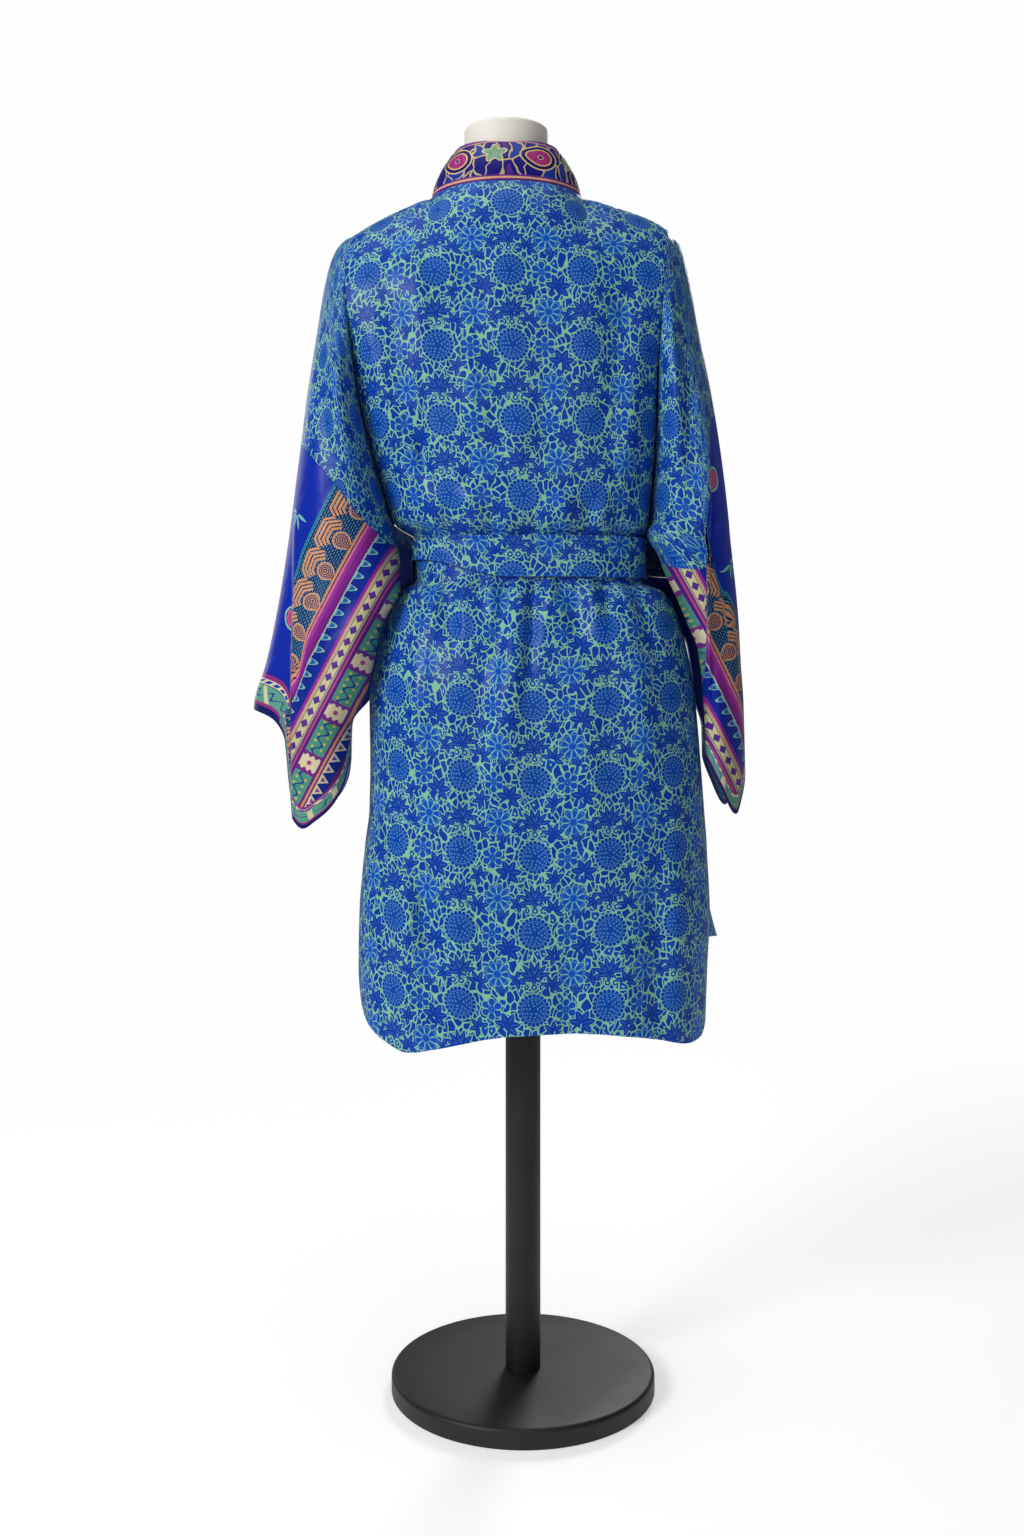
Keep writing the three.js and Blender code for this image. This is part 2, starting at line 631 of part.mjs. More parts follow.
// ---- Dress form and stand ----
function torsoGeometry() {
  const around = 28;
  const points = [];
  const triangles = [];
  for (const row of TORSO) {
    for (let i = 0; i < around; i += 1) {
      const angle = (i / around) * 2 * Math.PI;
      const [c, s] = [Math.cos(angle), Math.sin(angle)];
      const size = (Math.abs(c) ** 2.25 + Math.abs(s) ** 2.25) ** (-1 / 2.25);
      const depth = s > 0 ? row.back : row.front;
      points.push(new THREE.Vector3(row.middle + row.half * c * size, depth * s * size, row.z));
    }
  }
  for (let level = 0; level < TORSO.length - 1; level += 1) {
    for (let i = 0; i < around; i += 1) {
      const [a, b] = [level * around + i, level * around + ((i + 1) % around)];
      triangles.push(a, b, b + around, a, b + around, a + around);
    }
  }
  const ends = [0, (TORSO.length - 1) * around];
  for (const [k, first] of ends.entries()) {
    const row = TORSO[k === 0 ? 0 : TORSO.length - 1];
    const hub = points.push(new THREE.Vector3(row.middle, 0, row.z)) - 1;
    for (let i = 0; i < around; i += 1) {
      const [a, b] = [first + i, first + ((i + 1) % around)];
      triangles.push(...(k === 0 ? [hub, b, a] : [hub, a, b]));
    }
  }
  return closedGeometry(points, triangles);
}

// A round body of a given profile of [radius, height] corners, turned about Z.
function turned(profile, segments) {
  const geometry = new THREE.LatheGeometry(profile.map(([r, z]) => new THREE.Vector2(r, z)), segments);
  geometry.rotateX(Math.PI / 2);
  return geometry;
}

function roundedDisc({ radius, bottom, top, bevel }, segments) {
  const corner = even(4).map((share) => {
    const angle = (share * Math.PI) / 2;
    return [radius - bevel + bevel * Math.cos(angle), top - bevel + bevel * Math.sin(angle)];
  });
  return turned([[0, bottom], [radius, bottom], ...corner, [0, top]], segments);
}

// ---- Materials and assembly ----
const cloth = (color) => new THREE.MeshStandardMaterial({ color, roughness: 0.42, metalness: 0 });
const MATERIALS = {
  floral: cloth(0x2b60b8),
  border: cloth(0x3a3fb4),
  collar: cloth(0x4a3a8c),
  torso: new THREE.MeshStandardMaterial({ color: 0xe4dccd, roughness: 0.85, metalness: 0 }),
  cap: new THREE.MeshStandardMaterial({ color: 0xe7dfd2, roughness: 0.5, metalness: 0 }),
  metal: new THREE.MeshStandardMaterial({ color: 0x1d1d1d, roughness: 0.45, metalness: 0.2 }),
};

const garment = new THREE.Group();
function add(name, geometry, material) {
  const mesh = new THREE.Mesh(geometry, material);
  mesh.name = name;
  garment.add(mesh);
  return mesh;
}

const bodyRowSteps = even(bodyRows - 1);
const keepSide = (side) => (inner, outer) => {
  inner.y = side * Math.max(side * inner.y, SEAM / 2);
  return inner;
};

add('stand_base', roundedDisc({ ...BASE, bottom: 0, top: BASE.height }, 48), MATERIALS.metal);
const [poleBottom, poleTop] = [BASE.height + SEAM, POLE.top - SEAM];
const poleProfile = [[0, poleBottom], [POLE.radius, poleBottom], [POLE.radius, poleTop], [0, poleTop]];
add('stand_pole', turned(poleProfile, 32), MATERIALS.metal);
add('form_torso', torsoGeometry(), MATERIALS.torso);
add('form_neck', roundedDisc(NECK_CAP, 32), MATERIALS.cap).position.x = NECK_CAP.x;

const backWall = wall(backSurface, even(20), bodyRowSteps, { outward: bodyOutward, keep: keepSide(1) });
add('back', backWall, MATERIALS.floral);
const frontKeep = keepSide(-1);
for (const [name, side] of [['front_left', 1], ['front_right', -1]]) {
  const surface = (u, v) => frontSurface(side, u, v);
  const front = wall(surface, even(10), bodyRowSteps, { outward: bodyOutward, keep: frontKeep });
  add(name, front, MATERIALS.floral);
}
const neckbandSteps = even(2 * (NECK_STEPS + bodyRows - 1));
const neckband = wall(neckbandPoint, neckbandSteps, even(3), { outward: neckbandOutward });
add('neckband', neckband, MATERIALS.collar);

for (const [name, sleeve] of Object.entries(SLEEVES)) {
  const outward = sleeveOutward(sleeve);
  const { side } = sleeve;
  const keep = (inner, outer, around) => {
    if (around === 0 || around === 1) inner.x = side * Math.max(side * inner.x, side * outer.x);
    return inner;
  };
  const upper = (around, v) => sleeveSurface(sleeve, around, v);
  const lower = (around, v) => bandSurface(sleeve, around, v);
  const upperRows = even(11).map((share) => share ** 1.3);
  add(`sleeve_${name}`, wall(upper, even(22), upperRows, { outward, keep }), MATERIALS.floral);
  add(`sleeve_band_${name}`, wall(lower, even(22), even(9), { outward, keep }), MATERIALS.border);
}

const beltOutward = (point) => new THREE.Vector3(point.x - body(945, 'middle'), point.y, 0);
const belt = wall(beltPoint, even(BELT.columns), even(2), { closed: true, outward: beltOutward });
add('belt', belt, MATERIALS.floral);
const knotY = -(body(945, 'front') + LAP + BELT.moveOut + KNOT.depth / 2 + 1);
add('belt_knot', knotGeometry(), MATERIALS.floral).position.set(body(945, 'middle'), knotY, 944);
const tails = [
  { name: 'belt_tail_a', lean: 0.1, moveOut: 2 },
  { name: 'belt_tail_b', lean: -0.12, moveOut: 6 },
];
for (const { name, lean, moveOut } of tails) {
  const surface = (across, down) => tailPoint(lean, moveOut, across, down);
  const outward = () => new THREE.Vector3(0, -1, 0);
  add(name, wall(surface, even(3), even(10), { outward }), MATERIALS.floral);
}

export default garment;
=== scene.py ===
"""A short satin kimono robe, tied with its belt, on a limbless dress form with a round stand.

The drafting tables are in millimetres, the meshes in metres, +Z up. The robe
faces -Y and its wearer's left is +X, so its back is on the +Y side.
"""

import ast
import math

import bmesh
import bpy
import numpy as np
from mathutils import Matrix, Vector


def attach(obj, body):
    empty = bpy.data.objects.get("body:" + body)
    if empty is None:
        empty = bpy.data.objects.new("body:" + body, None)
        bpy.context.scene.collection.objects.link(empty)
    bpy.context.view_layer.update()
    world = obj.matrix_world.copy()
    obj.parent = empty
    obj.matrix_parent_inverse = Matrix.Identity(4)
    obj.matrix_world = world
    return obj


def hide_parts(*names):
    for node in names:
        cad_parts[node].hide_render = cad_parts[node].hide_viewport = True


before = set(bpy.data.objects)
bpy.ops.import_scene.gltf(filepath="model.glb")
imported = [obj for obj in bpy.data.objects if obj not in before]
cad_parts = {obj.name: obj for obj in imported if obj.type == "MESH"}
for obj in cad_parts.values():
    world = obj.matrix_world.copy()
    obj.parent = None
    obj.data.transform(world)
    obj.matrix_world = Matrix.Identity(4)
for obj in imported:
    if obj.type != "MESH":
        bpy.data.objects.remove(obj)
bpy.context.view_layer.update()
bpy.ops.object.select_all(action="DESELECT")


# ---- Driving dimensions ----
MM = 0.001
SEAM = 0.3  # gap between two pieces at a seam
CLOTH = 1.2  # thickness of the satin as modelled, with its turned edges
BASE = {"radius": 150, "height": 22, "bevel": 5}
POLE = {"radius": 20, "top": 700}
NECK_CAP = {"radius": 48, "bottom": 1408, "top": 1437, "bevel": 5, "x": 19}
COLLAR = {"half_width": 87, "height": 54, "lean_in": 27, "back_lean": 20, "bulge": 4, "virtual_rise": 46}
FRONT_BAND = 50  # width of the neckband down the fronts
NECK_SEAM = 1354  # height of the neckband's seam at the side of the neck
SHOULDER_ROUND = 130  # how far down from its line the shoulder is rounded
BODY_POWER = 2.4  # squareness of the body's section; 2 is an ellipse
TORSO_POWER = 2.25
LAP = 5  # lift of the left front over the right one
UNDERARM = 985
SLEEVE_TOP = 1311
SLEEVE_COLUMNS = 141
FRONT_LAYER_IN = 8  # how far each sleeve's front layer starts inside the back one
SLIT = {"top": 620, "spread": 16}
FLARE = {"top": 575, "height": 63, "reach": 15}
BELT = {"bottom": 922, "middle": 945, "top": 967, "slant": 21, "move_out": 4.4, "front_out": 5}
KNOT = {"width": 52, "depth": 28, "height": 40, "z": 944}
TAIL = {"width": 42, "length": 250, "top": 921}


def columns(names, *rows):
    """A table as named columns."""
    return dict(zip(names.split(), np.array(rows, float).T))


# Middle of the body's section and its depth at the middle of the back and the front.
BODY = columns(
    "z middle back front",
    (1420, 19, 101, 106),
    (1300, 17, 103, 112),
    (1180, 12, 107, 120),
    (1100, 8, 105, 116),
    (1030, 2, 100, 107),
    (992, -2, 96, 101),
    (980, -3, 91, 95),
    (969, -4, 80.5, 85.5),
    (945, -5, 80, 85),
    (919, -6, 80.5, 85.5),
    (908, -7, 87, 91),
    (880, -8, 98, 101),
    (840, -9, 108, 111),
    (784, -10, 117, 119),
    (700, -12, 121, 124),
    (600, -12, 122, 126),
    (400, -10, 124, 128),
)

# Side edges of the back and fronts: the armhole above the underarm, the side seam below it.
SIDE = columns(
    "z left right hollow",
    (1340, 189, -166, 90),
    (1300, 193, -161, 90),
    (1243, 196, -154, 86),
    (1180, 190, -150, 68),
    (1128, 184, -149, 47),
    (1059, 169, -148, 25),
    (1013, 156, -145, 9),
    (985, 147, -143.5, 1),
    (978, 138, -141, 0),
    (969, 123.5, -136.5, 0),
    (945, 123, -136, 0),
    (919, 123.5, -136.5, 0),
    (908, 140, -160, 0),
    (880, 155, -176, 0),
    (853, 163, -184, 0),
    (825, 168, -190, 0),
    (784, 175, -196, 0),
    (715, 174, -202, 0),
    (661, 175, -206, 0),
    (620, 180, -209, 0),
    (551, 185, -211, 0),
    (488, 186, -208, 0),
    (400, 180, -205, 0),
)

# Height of the shoulder line over x, from the right armhole to the left one.
SHOULDER = columns(
    "x z",
    (-185, 1302), (-171, 1315), (-148, 1330), (-110, 1344), (-68, 1354), (106, 1354), (132, 1345),
    (162, 1331), (188, 1316), (200, 1308),
)

# Lower edges of the back and of the fronts over x.
BACK_HEM = columns(
    "x z",
    (-209, 462), (-205, 428), (-197, 414), (-184, 411), (-150, 419), (-110, 427), (-60, 431),
    (0, 430), (57, 421), (100, 411), (128, 406), (151, 414), (172, 428), (181, 447), (186, 480),
)
FRONT_HEM = columns("x z", (-224, 512), (-100, 498), (0, 492), (100, 500), (190, 516))

# How far the seam of the left front and its neckband lies from the garment's middle.
FRONT_EDGE = columns(
    "z reach",
    (1354, 88), (1335, 85), (1300, 77), (1250, 64), (1200, 48), (1150, 33), (1100, 18), (1050, 4),
    (1000, -8), (950, -16), (850, -26), (700, -38), (500, -48),
)

# The sleeves: outer line, inner edges of the two layers, seam of the border band
# and cuff line. share 0 is the inner edge and share 1 the outer line.
SLEEVES = {
    "left": {
        "side": 1,
        "outer": columns(
            "z x",
            (1312, 196), (1304, 206), (1291, 215), (1265, 223), (1210, 233), (1128, 245),
            (1045, 256), (963, 268), (881, 282), (826, 294), (784, 307), (640, 316),
        ),
        "inner": columns(
            "z x hollow",
            (985, 148, 1.5),
            (957, 142, 9),
            (935, 139, 20),
            (908, 138, 34),
            (880, 152, 42),
            (853, 161, 46),
            (825, 167, 48),
            (800, 173, 48),
            (786, 178, 47),
            (759, 192, 44),
            (640, 194, 40),
        ),
        "band_top": columns("share z", (0, 956), (0.1, 966), (0.25, 986), (0.5, 1027), (1, 1077)),
        "cuff": columns(
            "share z",
            (0, 718), (0.04, 692), (0.15, 668), (0.28, 654), (0.4, 645), (0.5, 656), (0.56, 694),
            (0.62, 746), (0.75, 765), (1, 775),
        ),
        "step": {"x": 254, "depth": 17, "width": 5, "top": 1060, "full": 940},
    },
    "right": {
        "side": -1,
        "outer": columns(
            "z x",
            (1312, -173), (1304, -179), (1291, -183), (1265, -189), (1210, -199), (1128, -214),
            (1045, -228), (963, -237), (881, -245), (826, -248), (784, -251), (640, -255),
        ),
        "inner": columns(
            "z x hollow",
            (985, -144.5, 1.5),
            (974, -139, 28),
            (962, -142, 36),
            (948, -151, 38),
            (932, -157, 34),
            (900, -172, 36),
            (870, -184, 40),
            (845, -194, 44),
            (800, -200, 44),
            (740, -203, 44),
            (640, -204, 44),
        ),
        "band_top": columns(
            "share z",
            (0, 938), (0.1, 931), (0.4, 929), (0.55, 938), (0.62, 972), (0.66, 1014), (0.76, 1085),
            (1, 1110),
        ),
        "cuff": columns("share z", (0, 720), (0.3, 688), (0.66, 659), (0.85, 680), (1, 704)),
        "step": {"x": -202, "depth": 14, "width": 5, "top": 1120, "full": 1040},
    },
}
SLEEVE_DEPTH = columns(
    "z depth",
    (1320, 66), (1250, 76), (1200, 85), (1128, 91), (1000, 92), (880, 90), (784, 84), (640, 70),
)

# The dress form's torso: half width and depths of each section.
TORSO = columns(
    "z middle half back front",
    (700, -6, 138, 84, 84),
    (708, -6, 148, 91, 91),
    (740, -7, 157, 98, 98),
    (785, -7, 158, 99, 100),
    (850, -7, 141, 88, 92),
    (900, -6, 121, 73, 79),
    (945, -5, 111, 66, 73),
    (1000, 0, 118, 70, 80),
    (1100, 8, 139, 80, 94),
    (1180, 12, 151, 85, 99),
    (1250, 15, 156, 83, 92),
    (1290, 17, 157, 76, 83),
    (1312, 18, 154, 66, 72),
    (1328, 18, 141, 57, 60),
    (1340, 19, 116, 50, 51),
    (1349, 19, 84, 46, 46),
    (1360, 19, 56, 46, 46),
    (1380, 19, 47, 46, 46),
    (1407.7, 19, 46, 46, 46),
)

# Creases of the body, each a soft ridge (rise > 0) or trough (rise < 0) from its
# upper to its lower end. side 1 is the back; peak is where along it is highest.
CREASES = (
    # side, x0, z0, x1, z1, rise, width, peak
    # the large folds of the solids
    (1, 2, 914, 26, 690, 9.5, 17, 0.5),
    (1, 112, 900, 126, 660, 6.8, 15, 0.5),
    (1, 119, 1098, 105, 1026, -8.0, 6, 0.5),
    (1, 128, 1180, 112, 1060, 6.0, 9, 0.5),
    (1, 134, 660, 118, 400, 8.1, 14, 0.5),
    (1, 116, 610, 98, 500, -8.1, 12, 0.5),
    (1, 84, 918, 78, 850, -9.5, 12, 0.5),
    (1, -54, 918, -60, 840, -9.5, 12, 0.5),
    (1, -110, 912, -140, 700, 6.8, 16, 0.5),
    (1, -168, 720, -172, 400, 6.8, 14, 0.5),
    (1, 60, 1020, 54, 970, 7.5, 14, 0.5),
    (1, -48, 1020, -40, 970, 7.5, 14, 0.5),
    (1, 24, 1300, 20, 1120, 5.0, 22, 0.5),
    (-1, 70, 1240, 30, 1010, 9.5, 18, 0.5),
    (-1, -80, 1220, -60, 1000, 9.5, 18, 0.5),
    (-1, 96, 912, 118, 640, 8.1, 18, 0.5),
    (-1, -96, 912, -130, 600, 8.1, 18, 0.5),
    (-1, 140, 800, 150, 520, -6.8, 14, 0.5),
    # gathers where the back leaves the belt
    (1, 108, 921, 114, 862, -6.0, 5, 0.2),
    (1, 96, 921, 101, 880, 5.0, 5, 0.2),
    (1, 68, 921, 66, 842, 5.5, 6, 0.2),
    (1, 49, 921, 44, 868, -5.0, 6, 0.2),
    (1, 36, 921, 38, 884, 4.0, 5, 0.2),
    (1, 18, 921, 34, 800, -6.5, 7, 0.25),
    (1, -12, 921, -2, 780, -9.5, 8, 0.25),
    (1, -28, 921, -28, 872, 4.5, 6, 0.2),
    (1, -40, 921, -46, 884, -3.5, 5, 0.2),
    (1, -72, 921, -82, 838, 5.5, 7, 0.2),
    (1, -88, 921, -96, 866, -5.5, 6, 0.2),
    (1, -104, 921, -118, 880, 4.5, 6, 0.2),
    (1, -122, 921, -150, 812, -6.0, 8, 0.25),
    (1, 124, 915, 150, 790, 5.0, 7, 0.25),
    # long soft folds of the skirt at the back
    (1, 42, 860, 58, 620, -5.5, 13, 0.4),
    (1, -22, 760, -10, 560, -4.5, 15, 0.5),
    (1, -62, 820, -84, 560, 4.5, 16, 0.45),
    (1, 78, 740, 72, 450, 4.5, 15, 0.55),
    (1, 8, 600, 0, 405, 5.5, 16, 0.7),
    (1, -46, 580, -52, 405, -4.5, 14, 0.7),
    (1, -104, 620, -112, 405, 5.0, 16, 0.65),
    (1, -142, 640, -146, 405, -6.0, 12, 0.6),
    (1, 160, 820, 164, 560, -5.5, 10, 0.5),
    (1, 150, 560, 156, 420, -4.5, 9, 0.6),
    (1, 52, 560, 46, 405, -4.0, 13, 0.75),
    # blousing of the back over the belt
    (1, 104, 1026, 98, 968, 6.0, 8, 0.75),
    (1, 84, 1012, 78, 968, -5.0, 7, 0.75),
    (1, 38, 1004, 34, 968, -4.0, 7, 0.75),
    (1, 20, 1018, 14, 968, 4.5, 8, 0.75),
    (1, -8, 1006, -10, 968, -4.0, 7, 0.75),
    (1, -26, 1010, -24, 968, 3.5, 6, 0.75),
    (1, -74, 1016, -66, 968, -5.0, 8, 0.75),
    (1, -92, 1030, -84, 968, 6.0, 9, 0.75),
    (1, -110, 1014, -102, 968, -4.5, 7, 0.75),
    # drapes of the upper back, from the shoulders and under the arms
    (1, 150, 1250, 104, 1010, -7.0, 17, 0.55),
    (1, 172, 1210, 132, 1000, 5.5, 12, 0.6),
    (1, 120, 1300, 108, 1120, 4.5, 16, 0.4),
    (1, -116, 1280, -88, 1040, -6.0, 16, 0.55),
    (1, -134, 1230, -112, 1000, 5.5, 12, 0.6),
    (1, -70, 1310, -64, 1150, 3.5, 16, 0.4),
    (1, 62, 1200, 50, 1040, 3.5, 16, 0.6),
    (1, -20, 1180, -24, 1030, -3.5, 15, 0.6),
    (1, 0, 1120, 12, 1020, 3.0, 13, 0.6),
    # the fronts: drapes from the shoulders, blousing and gathers at the belt
    (-1, 122, 1290, 96, 1060, -6.0, 15, 0.5),
    (-1, 146, 1220, 116, 1000, 5.5, 12, 0.6),
    (-1, 96, 1180, 62, 1020, -4.5, 13, 0.6),
    (-1, -104, 1280, -90, 1060, -6.0, 15, 0.5),
    (-1, -126, 1210, -104, 1000, 5.5, 12, 0.6),
    (-1, 104, 1016, 98, 968, 5.5, 8, 0.75),
    (-1, 82, 1006, 78, 968, -4.5, 7, 0.75),
    (-1, 60, 1012, 58, 968, 4.0, 7, 0.75),
    (-1, 36, 1004, 34, 968, -3.5, 7, 0.75),
    (-1, -56, 1010, -54, 968, 4.0, 7, 0.75),
    (-1, -78, 1018, -72, 968, -5.0, 8, 0.75),
    (-1, -102, 1008, -96, 968, 4.5, 7, 0.75),
    (-1, 108, 921, 116, 850, -6.0, 7, 0.2),
    (-1, 76, 921, 84, 870, 4.5, 6, 0.2),
    (-1, 58, 921, 62, 846, -5.5, 7, 0.2),
    (-1, 34, 921, 36, 876, 4.0, 6, 0.2),
    (-1, -62, 921, -66, 850, -5.5, 7, 0.2),
    (-1, -80, 921, -88, 872, 4.5, 6, 0.2),
    (-1, -114, 921, -132, 840, -6.0, 8, 0.2),
    (-1, 50, 840, 66, 560, 6.0, 17, 0.45),
    (-1, 92, 760, 104, 500, -5.5, 13, 0.55),
    (-1, 20, 700, 24, 490, -4.5, 14, 0.7),
    (-1, -60, 800, -78, 540, -5.5, 14, 0.5),
    (-1, -150, 720, -166, 505, -6.0, 12, 0.6),
    (-1, -106, 640, -112, 495, 5.5, 14, 0.7),
)
SLEEVE_CREASES = {
    # around at the upper end, z0, around at the lower end, z1, rise, width, peak
    "left": (
        (0.2, 1270, 0.15, 985, 6, 0.045, 0.6),
        (0.29, 1240, 0.25, 1010, -4, 0.04, 0.6),
        (0.38, 1230, 0.36, 1060, 3, 0.04, 0.5),
        (0.09, 1000, 0.17, 720, 4, 0.04, 0.4),
        (0.17, 1000, 0.26, 690, -4, 0.04, 0.5),
        (0.27, 980, 0.34, 700, 3.5, 0.035, 0.6),
        (0.36, 1010, 0.38, 780, -3, 0.03, 0.5),
        (0.64, 1240, 0.66, 960, 4, 0.05, 0.5),
        (0.74, 1250, 0.78, 900, -4, 0.05, 0.6),
        (0.86, 1180, 0.82, 860, 4, 0.04, 0.6),
        (0.6, 900, 0.58, 760, -3, 0.035, 0.5),
    ),
    "right": (
        (0.17, 1260, 0.14, 960, 5, 0.04, 0.55),
        (0.25, 1270, 0.22, 950, -5, 0.04, 0.6),
        (0.34, 1240, 0.31, 940, 5, 0.04, 0.65),
        (0.42, 1200, 0.4, 1000, -3, 0.03, 0.5),
        (0.2, 930, 0.28, 700, -4, 0.05, 0.4),
        (0.36, 960, 0.36, 720, 3.5, 0.04, 0.5),
        (0.62, 1230, 0.65, 940, 4, 0.05, 0.5),
        (0.73, 1250, 0.76, 900, -4, 0.05, 0.6),
        (0.85, 1180, 0.83, 860, 4, 0.04, 0.6),
    ),
}


# ---- Small helpers ----
def mix(a, b, share):
    return a + (b - a) * share


def smooth(value):
    share = np.clip(value, 0, 1)
    return share * share * (3 - 2 * share)


def look(table, key, at, column):
    """A column's value at a key, smooth between the rows and without overshoot."""
    keys, values = table[key], table[column]
    if keys[0] > keys[-1]:
        keys, values = keys[::-1], values[::-1]
    span = np.diff(keys)
    slope = np.diff(values) / span
    both = slope[:-1] * slope[1:]
    whole = np.where(both > 0, slope[:-1] + slope[1:], 1)
    tangent = np.concatenate([slope[:1], np.where(both > 0, 2 * both / whole, 0), slope[-1:]])
    at = np.clip(at, keys[0], keys[-1])
    i = np.clip(np.searchsorted(keys, at, side="right") - 1, 0, len(span) - 1)
    t = (at - keys[i]) / span[i]
    start = (1 + 2 * t) * (1 - t) ** 2 * values[i] + t * (1 - t) ** 2 * span[i] * tangent[i]
    end = t * t * (3 - 2 * t) * values[i + 1] + t * t * (t - 1) * span[i] * tangent[i + 1]
    return start + end


def body(z, column):
    return look(BODY, "z", z, column)


def side_edge(z, column):
    return look(SIDE, "z", z, column)


def end_of(on_left, z):
    """x of the body's side edge on the left where on_left holds, on the right elsewhere."""
    return np.where(on_left, side_edge(z, "left"), side_edge(z, "right"))


def side_name(side):
    return "left" if side > 0 else "right"


def point(x, y, z):
    return np.stack(np.broadcast_arrays(x, y, z), axis=-1).astype(float)


def lifted(creases, across, z):
    """How far creases lift the cloth at a place across it and a height."""
    total = np.zeros(np.broadcast(across, z).shape)
    for start, z0, end, z1, rise, width, peak in creases:
        share = np.clip((z0 - z) / (z0 - z1), 0, 1)
        along = np.sin(np.pi * share ** (math.log(0.5) / math.log(peak))) ** 0.8
        off = (across - mix(start, end, share)) / width
        total += rise * along * np.exp(-off * off)
    return total


def crease_at(side, x, z):
    return lifted([crease[1:] for crease in CREASES if crease[0] == side], x, z)


# ---- Form of the body ----
NECK_MIDDLE = float(body(NECK_SEAM, "middle"))


def shoulder_height(x):
    from_middle = np.abs(x - NECK_MIDDLE) / COLLAR["half_width"]
    rise = np.where(from_middle < 1, COLLAR["virtual_rise"] * (1 - from_middle**2), 0)
    return look(SHOULDER, "x", x, "z") + rise


def at_shoulder(z):
    """1 where body and sleeve are one smooth surface, 0 where a trough lies between them."""
    return smooth((z - 1130) / 120)


def body_point(side, x, z, move_out=0):
    """The body's outer side at x and z; side 1 is the back, -1 the front."""
    middle = body(z, "middle")
    end = end_of(x > middle, z)
    across = np.clip((x - middle) / (end - middle), 0, 1)
    hollow = side_edge(z, "hollow") + SLIT["spread"] * smooth((SLIT["top"] - z) / 90)
    depth = body(z, "back" if side > 0 else "front")
    boxy = (1 - across**BODY_POWER) ** (1 / BODY_POWER)
    bow = mix(boxy, 1 - across**BODY_POWER, at_shoulder(z))
    drop = np.clip((shoulder_height(x) - z) / SHOULDER_ROUND, 0, 1)
    rounding = np.sqrt(1 - (1 - drop) ** 2)
    creases = crease_at(side, x, z) * (1 - across**6)
    out = (hollow + (depth - hollow) * bow + creases) * rounding
    return point(x, side * (out + SEAM / 2 + move_out * rounding), z)


def section_shares(count, width=185, depth=112):
    """Shares of a section's half width that step evenly along the cloth."""
    turn = np.linspace(0, np.pi / 2, 4001)
    share = np.sin(turn) ** (2 / BODY_POWER)
    bow = np.cos(turn) ** (2 / BODY_POWER)
    steps = np.hypot(width * np.diff(share), depth * np.diff(bow))
    length = np.concatenate([[0], np.cumsum(steps)])
    return np.interp(np.linspace(0, length[-1], count), length, share)


def row_drops(count):
    """Row places from the top edge (0) to the hem (1), closer over the shoulder."""
    shoulder_rows, shoulder_share = round(count * 0.21), 0.145
    turn = np.linspace(0, np.pi / 2, shoulder_rows + 1)
    top = shoulder_share * (1 - np.cos(turn))
    return np.concatenate([top, np.linspace(shoulder_share, 1, count - shoulder_rows)[1:]])


def settle(x_at, start, height_at):
    """Heights of each column's end, where its x depends on the height."""
    z = np.full(np.shape(x_at(start)), float(start))
    for _ in range(14):
        z = mix(z, height_at(x_at(z)), 0.7)
    return z


def neck_seam_height(x):
    from_middle = np.abs(x - NECK_MIDDLE) / COLLAR["half_width"]
    return np.where(from_middle < 1, NECK_SEAM + 3 * (1 - from_middle**2), shoulder_height(x))


def back_points(columns_half=76, rows=232):
    half = section_shares(columns_half + 1)
    across = np.concatenate([-half[:0:-1], half])

    def x_at(z):
        return body(z, "middle") + np.abs(across) * (end_of(across > 0, z) - body(z, "middle"))

    top = settle(x_at, 1350, neck_seam_height)
    bottom = settle(x_at, 430, lambda x: look(BACK_HEM, "x", x, "z"))
    z = mix(top[None, :], bottom[None, :], row_drops(rows)[:, None])
    x = x_at(z) - across * (SEAM / 2) * np.abs(across) ** 8
    return body_point(1, x, z)


def lap(x, z):
    """Lift of the left front over the right one."""
    return LAP * smooth((150 - x) / 60) * smooth((1345 - z) / 60)


def front_points(side, columns_count=78, rows=214):
    share = 1 - section_shares(columns_count + 1)

    def x_at(z):
        start = side_edge(z, side_name(side)) - side * (SEAM / 2)
        corner = np.clip((FLARE["top"] - z) / FLARE["height"], 0, 1.2) ** 1.6
        flare = -FLARE["reach"] * corner * (1 - share) ** 3 if side < 0 else 0
        seam = body(z, "middle") + side * (look(FRONT_EDGE, "z", z, "reach") + SEAM)
        return mix(start, seam, share) + flare

    top = np.minimum(settle(x_at, 1345, shoulder_height), NECK_SEAM)
    bottom = settle(x_at, 500, lambda x: look(FRONT_HEM, "x", x, "z"))
    z = mix(top[None, :], bottom[None, :], row_drops(rows)[:, None])
    x = x_at(z)
    return body_point(-1, x, z, lap(x, z) if side > 0 else 0)


# ---- Sleeves ----
def crest_height(armhole_x, around):
    """Where a sleeve's two layers meet over the shoulder, lower further out."""
    return mix(shoulder_height(armhole_x), SLEEVE_TOP + 1, smooth(np.minimum(around, 1 - around) * 4))


